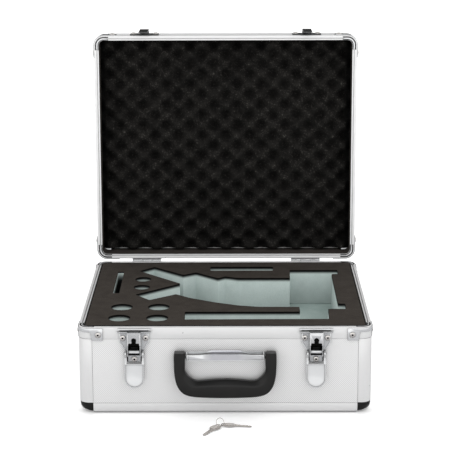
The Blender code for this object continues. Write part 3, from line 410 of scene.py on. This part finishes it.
def dress(name, material, bevel=0.0):
    """A CAD node's material and, by modifiers only, welded points, soft edges and smooth shading."""
    piece = NODES[name]
    piece.data.materials.clear()
    piece.data.materials.append(MATERIALS[material])
    for attribute in ("custom_normal", "sharp_edge", "sharp_face"):
        found = piece.data.attributes.get(attribute)
        if found:
            piece.data.attributes.remove(found)
    weld = piece.modifiers.new("weld", "WELD")
    weld.merge_threshold = 0.00001
    if bevel:
        soft_edges(piece, bevel)
    shade = piece.modifiers.new("smooth", "NODES")
    shade.node_group = SMOOTH


def put(name, builder, material, body, smooth=None, lid=False):
    """A new visual piece from a bmesh, riding on a body; lid pieces are built shut and then opened."""
    bmesh.ops.recalc_face_normals(builder, faces=builder.faces)
    if lid:
        bmesh.ops.transform(builder, matrix=OPEN_LID, verts=builder.verts)
    mesh = bpy.data.meshes.new(name)
    builder.to_mesh(mesh)
    builder.free()
    mesh.materials.append(MATERIALS[material])
    if smooth is not None:
        mesh.shade_smooth()
        mesh.set_sharp_from_angle(angle=math.radians(smooth))
    piece = bpy.data.objects.new(name, mesh)
    SCENE.collection.objects.link(piece)
    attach(piece, body)
    return piece


def choose_finish(name):
    if name.startswith("base_ball"):
        return "ball", 0.0006
    if name == "base_floor_panel":
        return "floor", 0.0
    if name == "lid_outer_panel":
        return "lid_panel", 0.0
    if name.endswith("_panel"):
        return "panel", 0.0
    if name.startswith("base_post"):
        return "post", 0.0003
    if name.endswith("_rail") or name == "base_rim":
        return "rail", 0.0003
    if name in ("lid_rim",) or name.endswith("_wall"):
        return "lid_rail", 0.0003
    if name == "handle_grip":
        return "plastic", 0.0
    if name.startswith("lock_barrel"):
        return "dark", 0.0002
    if name.startswith("key"):
        return "key", 0.00025 if name != "key_ring" else 0.0
    # The claws inside the latch take the near-black lock finish as painted shade.
    if name.startswith("latch_claw"):
        return "dark", 0.0002
    if name.startswith(("handle_pivot", "hinge_pin")):
        return "pin", 0.0002
    if name.startswith("latch_lever"):
        return "lever", 0.0003
    if name == "handle_bracket":
        return "bracket", 0.0003
    if name.startswith("base_rim_bracket"):
        return "silver", 0.0003
    # Lid catches: near-black plating as painted shadow, with painted light on level faces.
    if name.startswith("lid_catch"):
        return "catch", 0.0003
    if name.startswith("latch_plate"):
        return "latch", 0.0006
    return "chrome", 0.0003


SOFT = ("foam_bottom_layer", "foam_cut_layer", "foam_cover_sheet", "lid_egg_crate_foam")
for node_name in NODES:
    if node_name not in SOFT:
        dress(node_name, *choose_finish(node_name))


# ---- Foam -----------------------------------------------------------------------------------------
def soften_foam(node, name, material, edge):
    """A foam layer with the CAD's outline, its cut edges rounded over."""
    mesh = NODES[node].data.copy()
    for attribute in ("custom_normal", "sharp_edge", "sharp_face"):
        found = mesh.attributes.get(attribute)
        if found:
            mesh.attributes.remove(found)
    builder = bmesh.new()
    builder.from_mesh(mesh)
    bmesh.ops.remove_doubles(builder, verts=builder.verts, dist=0.00001)
    bmesh.ops.dissolve_limit(builder, angle_limit=math.radians(1), verts=builder.verts,
                             edges=builder.edges)
    bmesh.ops.triangulate(builder, faces=[face for face in builder.faces if len(face.verts) > 4])
    piece = put(name, builder, material, "base", 40)
    soft_edges(piece, edge, 50)
    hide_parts(node)


CRATE_PITCH = 0.0402
CRATE_ROW_PITCH = 0.0352
CRATE_PEAK = LID_BOTTOM + 0.0215
CRATE_BACK = LID_BOTTOM + 0.0442
CRATE_DEPTH = 0.0205
CRATE_INSET = 0.0084
CRATE_HINGE_GAP = 0.0034
CRATE_EDGE_WAVE = 0.0010
CRATE_JITTER = 0.0004
CRATE_STEPS = (168, 146)


def egg_crate(name):
    """Convoluted foam: staggered rows of rounded peaks, with a wavy cut along its hinge side."""
    half_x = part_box("lid_egg_crate_foam")[1].x
    half_y = CASE_HALF_Y - CRATE_INSET
    count_x, count_y = CRATE_STEPS
    random.seed(4)
    jitter = {}
    builder = bmesh.new()
    grid = []
    for row in range(count_y + 1):
        line = []
        for column in range(count_x + 1):
            x = -half_x + 2 * half_x * column / count_x
            across = math.cos(2 * math.pi * x / CRATE_PITCH)
            hinge_edge = half_y - CRATE_HINGE_GAP - CRATE_EDGE_WAVE * across
            y = -half_y + (half_y + hinge_edge) * row / count_y
            wave = across * math.cos(2 * math.pi * y / CRATE_ROW_PITCH)
            hump = (0.5 * (1 + wave)) ** 0.85
            key = (round(x / CRATE_PITCH * 2), round(y / CRATE_ROW_PITCH * 2))
            offset = jitter.setdefault(key, random.uniform(-CRATE_JITTER, CRATE_JITTER))
            z = CRATE_PEAK + CRATE_DEPTH * (1 - hump) + offset * hump
            line.append(builder.verts.new((x, y, z)))
        grid.append(line)
    for row in range(count_y):
        for column in range(count_x):
            builder.faces.new((grid[row][column], grid[row][column + 1],
                               grid[row + 1][column + 1], grid[row + 1][column]))
    border = grid[0] + [line[-1] for line in grid[1:]] + grid[-1][-2::-1]
    border += [line[0] for line in grid[-2:0:-1]]
    lower = [builder.verts.new((vert.co.x, vert.co.y, CRATE_BACK)) for vert in border]
    for index in range(len(border)):
        after = (index + 1) % len(border)
        builder.faces.new((border[index], border[after], lower[after], lower[index]))
    builder.faces.new(lower)
    piece = put(name, builder, "crate", "lid", 60, lid=True)
    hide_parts("lid_egg_crate_foam")


soften_foam("foam_bottom_layer", "foam_insert_floor", "floor_foam", 0.0010)
soften_foam("foam_cut_layer", "foam_insert_core", "core", 0.0003)
soften_foam("foam_cover_sheet", "foam_insert_cover", "cover", 0.0002)
egg_crate("egg_crate_foam")


def add_loops(builder, loops, closed=True):
    """Skins equally long point loops, each joined to the next."""
    rings = [[builder.verts.new(point) for point in loop] for loop in loops]
    count = len(rings[0])
    for index in range(len(rings) if closed else len(rings) - 1):
        here, there = rings[index], rings[(index + 1) % len(rings)]
        for step in range(count):
            after = (step + 1) % count
            builder.faces.new((here[step], here[after], there[after], there[step]))
    return rings


def add_lathe(builder, profile, segments, centre, axis, first, second):
    """Turns (radius, height) pairs about an axis through the centre; the vectors span the base."""
    rings = []
    for radius, height in profile:
        ring = []
        for step in range(segments if radius else 1):
            angle = 2 * math.pi * step / segments
            outward = first * radius * math.cos(angle) + second * radius * math.sin(angle)
            ring.append(builder.verts.new(centre + axis * height + outward))
        rings.append(ring)
    for lower, upper in zip(rings, rings[1:]):
        for step in range(segments):
            after = (step + 1) % segments
            corners = [lower[step % len(lower)], lower[after % len(lower)]]
            corners += [upper[after % len(upper)], upper[step % len(upper)]]
            builder.faces.new(list(dict.fromkeys(corners)))


# ---- Rivets: domed, with a small hollow in the middle ---------------------------------------------
RIVET_RADIUS = 0.0044
RIVET_RISE = 0.0021
RIVET_EDGE = 0.0004
BRACKET_RIVET_INSET = 0.0300
BRACKET_RIVET_DROP = 0.0118
BRACKET_FACE = 0.0014
PLATE_FACE = 0.0016
LATCH_RIVETS = ((-0.0172, 0.1198), (0.0172, 0.1198), (0, 0.0868))
HINGE_RIVET_X = 0.015
CATCH_RIVET_X = 0.0185


def rivet_profile():
    edge = RIVET_EDGE
    profile = [(0, -0.0002), (RIVET_RADIUS * 0.8, -0.0002), (RIVET_RADIUS, 0.0), (RIVET_RADIUS, edge)]
    for degrees in (18, 36, 52, 64):
        angle = math.radians(degrees)
        profile.append((RIVET_RADIUS * math.cos(angle), edge + (RIVET_RISE - edge) * math.sin(angle)))
    bowl = ((0.0015, 0.0003), (0.0013, 0.0008), (0, 0.0009))
    return profile + [(radius, RIVET_RISE - depth) for radius, depth in bowl]


def hollow_profile():
    """A dark bead of painted shade at the bottom of the rivet's hollow."""
    bead = ((0, 0.0010), (0.0012, 0.0010), (0.00125, 0.0005), (0.0008, 0.0003), (0, 0.0003))
    return [(radius, RIVET_RISE - depth) for radius, depth in bead]


def add_rivet(builders, centre, outward):
    axis = Vector(outward)
    first = axis.orthogonal().normalized()
    for builder, profile in zip(builders, (rivet_profile(), hollow_profile())):
        add_lathe(builder, profile, 24, Vector(centre), axis, first, axis.cross(first))


def bracket_rivets(builders, height):
    """Two rivets at each corner bracket of a rim, one on each face."""
    for sign_x, sign_y in CORNERS:
        for across, along, outward in ((-BRACKET_RIVET_INSET, BRACKET_FACE, (0, sign_y, 0)),
                                       (BRACKET_FACE, -BRACKET_RIVET_INSET, (sign_x, 0, 0))):
            centre = (sign_x * (CASE_HALF_X + across), sign_y * (CASE_HALF_Y + along), height)
            add_rivet(builders, centre, outward)


def build_rivets():
    """Rivets of the brackets, latch plates, catches and hinge leaves, with a dark bead of painted shade
    in each hollow.
    """
    plate_front = -(CASE_HALF_Y + PLATE_FACE)
    leaf_front = CASE_HALF_Y + PLATE_FACE
    catch_rivets = [(x, LID_BOTTOM + 0.0216) for x in (-CATCH_RIVET_X, CATCH_RIVET_X)]
    for body, bracket_height, front_rivets, leaf_height in (
            ("base", BASE_TOP - BRACKET_RIVET_DROP, LATCH_RIVETS, BASE_TOP - 0.019),
            ("lid", LID_BOTTOM + BRACKET_RIVET_DROP, catch_rivets, LID_BOTTOM + 0.019)):
        builders = (bmesh.new(), bmesh.new())
        bracket_rivets(builders, bracket_height)
        for side in (-1, 1):
            centre = side * FITTING_X
            for x, z in front_rivets:
                add_rivet(builders, (centre + x, plate_front, z), (0, -1, 0))
            for x in (-HINGE_RIVET_X, HINGE_RIVET_X):
                add_rivet(builders, (centre + x, leaf_front, leaf_height), (0, 1, 0))
        put(f"{body}_rivets", builders[0], "rivet", body, 40, lid=body == "lid")
        put(f"{body}_rivet_hollow_shade", builders[1], "hollow", body, 40, lid=body == "lid")


def add_rim_bracket(builder, sign_x, sign_y, parting, direction):
    """Corner bracket of the rim: a plate on each face, joined by a band round the corner."""
    plate_end, plate_start, slope, radius = 0.0370, 0.0205, 0.0025, RIM_RADIUS
    band = (parting + direction * 0.0014, parting + direction * 0.0072)
    foot = parting + direction * 0.0205
    centre_x, centre_y = CASE_HALF_X - radius, CASE_HALF_Y - radius
    stations = []
    for reach, low in ((plate_end, foot), (plate_start, foot), (plate_start - slope, band[1])):
        stations.append(((CASE_HALF_X - reach, CASE_HALF_Y), (0, 1), low))
    for angle in range(90, -1, -9):
        out = (math.cos(math.radians(angle)), math.sin(math.radians(angle)))
        stations.append(((centre_x + radius * out[0], centre_y + radius * out[1]), out, band[1]))
    for reach, low in ((plate_start - slope, band[1]), (plate_start, foot), (plate_end, foot)):
        stations.append(((CASE_HALF_X, CASE_HALF_Y - reach), (1, 0), low))
    loops = []
    for spot, out, low in stations:
        loop = []
        for distance, height in ((GAP, low), (GAP, band[0]), (GAP + 0.001, band[0]), (GAP + 0.001, low)):
            x, y = spot[0] + distance * out[0], spot[1] + distance * out[1]
            loop.append((sign_x * x, sign_y * y, height))
        loops.append(loop)
    rings = add_loops(builder, loops, closed=False)
    builder.faces.new(rings[0])
    builder.faces.new(rings[-1])


def build_lid_brackets():
    for sign_x, sign_y in CORNERS:
        builder = bmesh.new()
        add_rim_bracket(builder, sign_x, sign_y, LID_BOTTOM, 1)
        place = ("front" if sign_y < 0 else "rear") + ("_left" if sign_x < 0 else "_right")
        bracket = put(f"lid_rim_bracket_{place}", builder, "silver", "lid", 35, lid=True)
        soft_edges(bracket, 0.0002)


def rounded_rectangle(half_x, half_y, radius, segments=8):
    points = []
    for quarter, (sign_x, sign_y) in enumerate(((1, 1), (-1, 1), (-1, -1), (1, -1))):
        for step in range(segments + 1):
            angle = math.pi / 2 * (quarter + step / segments)
            points.append((sign_x * (half_x - radius) + radius * math.cos(angle),
                           sign_y * (half_y - radius) + radius * math.sin(angle)))
    return points


def build_lining():
    """Thin dark lining of the lid's walls, between the rim and the foam."""
    builder = bmesh.new()
    start, end = LID_BOTTOM + 0.0006, LID_BOTTOM + 0.0440
    loops = []
    for inset, height in ((0.00795, start), (0.00795, end), (0.0082, end), (0.0082, start)):
        path = rounded_rectangle(CASE_HALF_X - inset, CASE_HALF_Y - inset, 0.0080)
        loops.append([(x, y, height) for x, y in path])
    add_loops(builder, loops)
    put("lid_lining", builder, "lining", "lid", 40, lid=True)


# ---- Latches --------------------------------------------------------------------------------------
PIN = Vector(JOINTS["latch_lift_right"]["pos_m"])
BARREL = Vector(JOINTS["lock_turn_right"]["pos_m"])


def add_plate(builder, outline, back, front):
    """A plate drawn in front view, from its back to its front depth, its front edge eased."""
    middle = sum((Vector(point) for point in outline), Vector((0, 0))) / len(outline)
    inner = [middle + (Vector(point) - middle) * 0.94 for point in outline]
    rows = ((outline, back), (outline, front + 0.0002), (inner, front))
    rings = add_loops(builder, [[(x, depth, z) for x, z in row] for row, depth in rows], closed=False)
    builder.faces.new(rings[0])
    builder.faces.new(rings[-1])


HOUSING_FRONT = BARREL.y
PLATE_FRONT = -(CASE_HALF_Y + 0.0015)
WINDOW_HALF = 0.0087
KEYHOLE_RADIUS = 0.0017
ROLLER_HALF = 0.0084
ROLLER_RADIUS = 0.0024
EAR_SHADOW = [(0.0100, -0.0128), (0.0111, -0.0128), (0.0112, -0.0066), (0.0106, -0.0055),
              (0.0100, -0.0060)]
LIP_HEIGHT = 0.1336
LIP_SHADOW = [(0.0, 0.1310), (0.0216, 0.1310), (0.0216, 0.1326), (0.0, 0.1326)]
FLANGE_SHADE = [(0.0098, 0.0842), (0.0110, 0.0842), (0.0110, 0.0890), (0.0098, 0.0900)]
WINDOW_TOP_SHADE = [(-0.0084, 0.1112), (0.0084, 0.1112), (0.0084, 0.1140), (0.0072, 0.1150), (-0.0072, 0.1150),
              (-0.0084, 0.1140)]
HOUSING_HIGHLIGHT = [(0.0088, 0.1118), (0.0099, 0.1118), (0.0099, 0.1290), (0.0088, 0.1290)]
PLATE_HIGHLIGHT = [(0.0147, 0.1014), (0.0219, 0.1126), (0.0219, 0.1274), (0.0205, 0.1274), (0.0205, 0.1132),
                (0.0138, 0.1026)]


def build_latch_details(hand, sign):
    """Painted shade on dark sheets behind the latch's window, under its lip, by its ears and flanges and
    at the top of the window; painted highlight on bright strips along its lip and borders; the roller;
    and a dark sheet of painted shade for the keyhole.
    """
    centre = sign * FITTING_X

    def plate(spots, back, front, mirror=1, lift=0.0):
        add_plate(builder, [(centre + mirror * x, z + lift) for x, z in spots], back, front)

    # Dark sheets of painted shade and shadow.
    builder = bmesh.new()
    low, high = PIN.z - 0.0044, BARREL.z - 0.0070
    window = [(-WINDOW_HALF, low), (WINDOW_HALF, low), (WINDOW_HALF, high), (-WINDOW_HALF, high)]
    plate(window, PLATE_FRONT + 0.0006, PLATE_FRONT - 0.0002)
    for side in (-1, 1):
        plate(EAR_SHADOW, PLATE_FRONT + 0.0010, PLATE_FRONT - 0.0003, side, PIN.z)
        plate(LIP_SHADOW, PLATE_FRONT, PLATE_FRONT - 0.0010, side)
        plate(FLANGE_SHADE, PLATE_FRONT, PLATE_FRONT - 0.0012, side)
    plate(WINDOW_TOP_SHADE, HOUSING_FRONT + 0.0003, HOUSING_FRONT - 0.0001)
    barrel_shade = rounded_rectangle(0.0036, 0.0036, 0.00355, 6)
    plate(barrel_shade, HOUSING_FRONT + 0.0003, HOUSING_FRONT - 0.0004, lift=BARREL.z + 0.0030)
    put(f"latch_shade_{hand}", builder, "hollow", "base", 30)

    # Bright strips of painted highlight on the lip and the borders.
    builder = bmesh.new()
    lip = rounded_rectangle(0.0252, 0.0008, 0.0007, 4)
    plate(lip, PLATE_FRONT, PLATE_FRONT - 0.0026, lift=LIP_HEIGHT)
    for side in (-1, 1):
        plate(PLATE_HIGHLIGHT, PLATE_FRONT, PLATE_FRONT - 0.0004, side)
        plate(HOUSING_HIGHLIGHT, HOUSING_FRONT, HOUSING_FRONT - 0.0004, side)
    put(f"latch_highlight_{hand}", builder, "bright", "base", 30)

    builder = bmesh.new()
    end, side = (ROLLER_RADIUS - 0.0005, ROLLER_HALF), (ROLLER_RADIUS, ROLLER_HALF - 0.0005)
    profile = [(0, -ROLLER_HALF), (end[0], -end[1]), (side[0], -side[1]), side, end, (0, ROLLER_HALF)]
    middle = Vector((centre, PIN.y - 0.0010, PIN.z + 0.0030))
    add_lathe(builder, profile, 28, middle, Vector((1, 0, 0)), Vector((0, 1, 0)), Vector((0, 0, 1)))
    put(f"latch_roller_{hand}", builder, "silver", f"latch_lever_{hand}", 40)

    # A dark sheet of painted shade where the keyhole opens.
    builder = bmesh.new()
    angles = [math.radians(degrees) for degrees in range(30, 331, 15)]
    keyhole = [(math.sin(angle) * KEYHOLE_RADIUS, 0.0004 - math.cos(angle) * KEYHOLE_RADIUS)
               for angle in angles]
    keyhole += [(-0.0007, -0.0026), (0.0007, -0.0026)]
    plate(keyhole, BARREL.y - 0.0003, BARREL.y - 0.0008, lift=BARREL.z)
    put(f"keyhole_{hand}", builder, "hollow", f"lock_{hand}", 30)


def build_bracket_shading():
    """Painted shadow line along the top of the handle bracket's face, raised in the middle, and bright
    strips of painted highlight along its foot and ends.
    """
    low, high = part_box("handle_bracket")
    half, shadow_strip, rise, width = high.x - 0.0012, high.z - 0.0026, 0.0021, 0.0009
    steps = 24
    lower = []
    for step in range(steps + 1):
        x = -half + 2 * half * step / steps
        lift = min(1.0, max(0.0, (0.040 - abs(x)) / 0.018))
        lower.append((x, shadow_strip + rise * lift * lift * (3 - 2 * lift)))
    builder = bmesh.new()
    back, front = low.y + 0.0006, low.y - 0.0001
    loops = [[(x, back, z), (x, front, z), (x, front, z + width), (x, back, z + width)] for x, z in lower]
    rings = add_loops(builder, loops, closed=False)
    builder.faces.new(rings[0])
    builder.faces.new(rings[-1])
    put("handle_bracket_shadow", builder, "shadow_strip", "base", 40)
    builder = bmesh.new()
    edge = 0.0010
    foot, head = low.z + 0.0002, low.z + edge
    add_plate(builder, [(-half, foot), (half, foot), (half, head), (-half, head)], back, front)
    for side in (-1, 1):
        outer, inner = side * half, side * (half - edge)
        add_plate(builder, [(outer, low.z), (inner, low.z), (inner, shadow_strip), (outer, shadow_strip)], back, front)
    put("handle_bracket_highlight", builder, "bright", "base", 40)


def corner_path(inset, reach, steps=10):
    """Points round a rim corner at an inset from its outer face, with a straight reach at both ends."""
    radius = RIM_RADIUS - inset
    middle = (CASE_HALF_X - RIM_RADIUS, CASE_HALF_Y - RIM_RADIUS)
    points = [(CASE_HALF_X - RIM_RADIUS - reach, CASE_HALF_Y - inset)]
    for step in range(steps + 1):
        angle = math.pi / 2 * (1 - step / steps)
        points.append((middle[0] + radius * math.cos(angle), middle[1] + radius * math.sin(angle)))
    return [*points, (CASE_HALF_X - inset, CASE_HALF_Y - RIM_RADIUS - reach)]


def build_corner_strips(body, bottom, top, lid):
    """Inlaid corner clips of a rim: a dark strip of painted reflection each side of a bright strip of
    painted highlight.
    """
    strips = (("outer", 0.0016, 0.0038, 0.0080, "dark_reflection"), ("inner", 0.0062, 0.0075, 0.0080, "dark_reflection"),
              ("middle", 0.0042, 0.0058, 0.0060, "bright"))
    for name, start, end, reach, material in strips:
        builder = bmesh.new()
        for sign_x, sign_y in CORNERS:
            edges = list(zip(corner_path(start, reach), corner_path(end, reach)))
            loops = []
            for outer, inner in edges:
                corners = ((outer, bottom), (outer, top), (inner, top), (inner, bottom))
                loops.append([(sign_x * spot[0], sign_y * spot[1], height) for spot, height in corners])
            rings = add_loops(builder, loops, closed=False)
            builder.faces.new(rings[0])
            builder.faces.new(rings[-1])
        put(f"{body}_corner_clip_{name}", builder, material, body, 40, lid=lid)


build_rivets()
build_lid_brackets()
build_lining()
build_bracket_shading()
build_corner_strips("lid", LID_BOTTOM - CLIP_PROUD, LID_BOTTOM + CLIP_DEPTH, True)
build_corner_strips("base", BASE_TOP - CLIP_DEPTH, BASE_TOP + CLIP_PROUD, False)
for latch_hand, latch_sign in (("left", -1), ("right", 1)):
    build_latch_details(latch_hand, latch_sign)


# ---- Light and camera -----------------------------------------------------------------------------
SKY_LIGHT = 1.08
GLOSS_BANDS = [(0.0, 0.7), (0.49, 0.9), (0.54, 1.0), (0.62, 0.80), (0.72, 1.2), (0.84, 1.2), (0.90, 0.15),
               (1.0, 0.12)]
SIDE_BANDS = [(0.0, 0.55), (0.16, 1.0), (0.24, 0.55), (0.34, 1.0), (0.66, 1.0), (0.80, 0.6), (1.0, 1.0)]
BACK_BANDS = [(0.0, 1.0), (0.90, 1.0), (0.955, 0.05), (1.0, 0.04)]
FLOOR_GLOW = 0.20
CAMERA_PLACE = (0.0129, -2.5473, 0.8694)
CAMERA_ANGLES = (13.744, -0.306, 0.179)
CAMERA_LENS = 132.13
REFLECTED_FLOOR = [(0.10, (0.30, 0.30, 0.31)), (0.30, (0.42, 0.42, 0.43)), (0.60, (0.95, 0.95, 0.95))]


# ---- Stage ----------------------------------------------------------------------------------------
def stage():
    """White floor with a slight glow; polished metal sees it darker close to the case."""
    builder = bmesh.new()
    bmesh.ops.create_grid(builder, x_segments=2, y_segments=2, size=14)
    mesh = bpy.data.meshes.new("studio_floor")
    builder.to_mesh(mesh)
    builder.free()
    nodes = Nodes("studio_white")
    nodes.set(Roughness=0.9, Specular_IOR_Level=0.1, Emission_Color=(1, 1, 1, 1))
    distance = nodes.math("ABSOLUTE", nodes.axis("Y"))
    reflected = nodes.ramp(nodes.math("DIVIDE", distance, 2.5), REFLECTED_FLOOR)
    path = nodes.tree.nodes.new("ShaderNodeLightPath")
    glossy = path.outputs["Is Glossy Ray"]
    direct = nodes.math("SUBTRACT", 1.0, glossy)
    nodes.link(nodes.math("MULTIPLY", direct, FLOOR_GLOW), "Emission Strength")
    speckle = nodes.ramp(nodes.noise(6, 3), [(0.3, grey(0.95)), (0.7, grey(0.97))])
    nodes.link(nodes.choose(glossy, speckle, reflected), "Base Color")
    mesh.materials.append(nodes.material)
    floor = bpy.data.objects.new("studio_floor", mesh)
    SCENE.collection.objects.link(floor)
    floor.location.z = -0.0002


def add_area(name, location, target, size, power):
    light = bpy.data.lights.new(name, "AREA")
    light.shape = "RECTANGLE"
    light.size, light.size_y = size, size
    light.energy = power
    lamp = bpy.data.objects.new(name, light)
    SCENE.collection.objects.link(lamp)
    lamp.location = location
    lamp.rotation_euler = (Vector(target) - Vector(location)).to_track_quat("-Z", "Y").to_euler()


def studio_world():
    """Even pale surround for soft light; polished metal reflects a studio with dark parts instead."""
    world = bpy.data.worlds.new("studio")
    SCENE.world = world
    world.use_nodes = True
    tree = world.node_tree
    background = tree.nodes["Background"]
    coordinates = tree.nodes.new("ShaderNodeTexCoord")
    split = tree.nodes.new("ShaderNodeSeparateXYZ")
    tree.links.new(coordinates.outputs["Generated"], split.inputs[0])

    def gradient(letter, stops):
        ramp = tree.nodes.new("ShaderNodeValToRGB")
        elements = ramp.color_ramp.elements
        shift = tree.nodes.new("ShaderNodeMapRange")
        shift.inputs["From Min"].default_value = -1
        tree.links.new(split.outputs[letter], shift.inputs["Value"])
        for index, (position, value) in enumerate(stops):
            element = elements[index] if index < 2 else elements.new(position)
            element.position = position
            element.color = (value, value, value, 1)
        tree.links.new(shift.outputs[0], ramp.inputs["Fac"])
        return ramp.outputs["Color"]

    def mix(kind, factor, first, second):
        node = tree.nodes.new("ShaderNodeMix")
        node.data_type = "RGBA"
        node.blend_type = kind
        for index, value in ((0, factor), (6, first), (7, second)):
            socket = node.inputs[index]
            if not isinstance(value, float):
                tree.links.new(value, socket)
            else:
                socket.default_value = value if index == 0 else (value, value, value, 1)
        return node.outputs[2]

    height = gradient("Z", GLOSS_BANDS)
    sideways = mix("MULTIPLY", 1.0, gradient("X", SIDE_BANDS), gradient("Y", BACK_BANDS))
    glossy = mix("MULTIPLY", 1.0, height, sideways)
    path = tree.nodes.new("ShaderNodeLightPath")
    lit = mix("MIX", path.outputs["Is Glossy Ray"], SKY_LIGHT, glossy)
    seen = mix("MIX", path.outputs["Is Camera Ray"], lit, 1.0)
    tree.links.new(seen, background.inputs["Color"])
    background.inputs["Strength"].default_value = 1.0


def camera():
    """Placed in front and a little above, with a long lens."""
    pitch, yaw, roll = (math.radians(angle) for angle in CAMERA_ANGLES)
    forward = Vector((math.sin(yaw) * math.cos(pitch), math.cos(yaw) * math.cos(pitch), -math.sin(pitch)))
    right = Vector((math.cos(yaw), -math.sin(yaw), 0))
    down = forward.cross(right)
    rolled_right = math.cos(roll) * right + math.sin(roll) * down
    rolled_down = -math.sin(roll) * right + math.cos(roll) * down
    data = bpy.data.cameras.new("camera")
    data.sensor_width = 36
    data.lens = CAMERA_LENS
    eye = bpy.data.objects.new("camera", data)
    SCENE.collection.objects.link(eye)
    columns = (rolled_right, -rolled_down, -forward)
    turn = Matrix([[column[row] for column in columns] for row in range(3)]).to_4x4()
    eye.matrix_world = Matrix.Translation(CAMERA_PLACE) @ turn
    SCENE.camera = eye


stage()
studio_world()
add_area("key_light", (1.2, -1.6, 2.8), (0, 0, 0.2), 1.4, 4)
add_area("fill_light", (-2.2, -1.6, 1.6), (0, 0, 0.2), 2.0, 2)
add_area("top_light", (0, 0.1, 3.0), (0, 0, 0.1), 2.0, 5)
camera()
SCENE.view_settings.view_transform = "Standard"
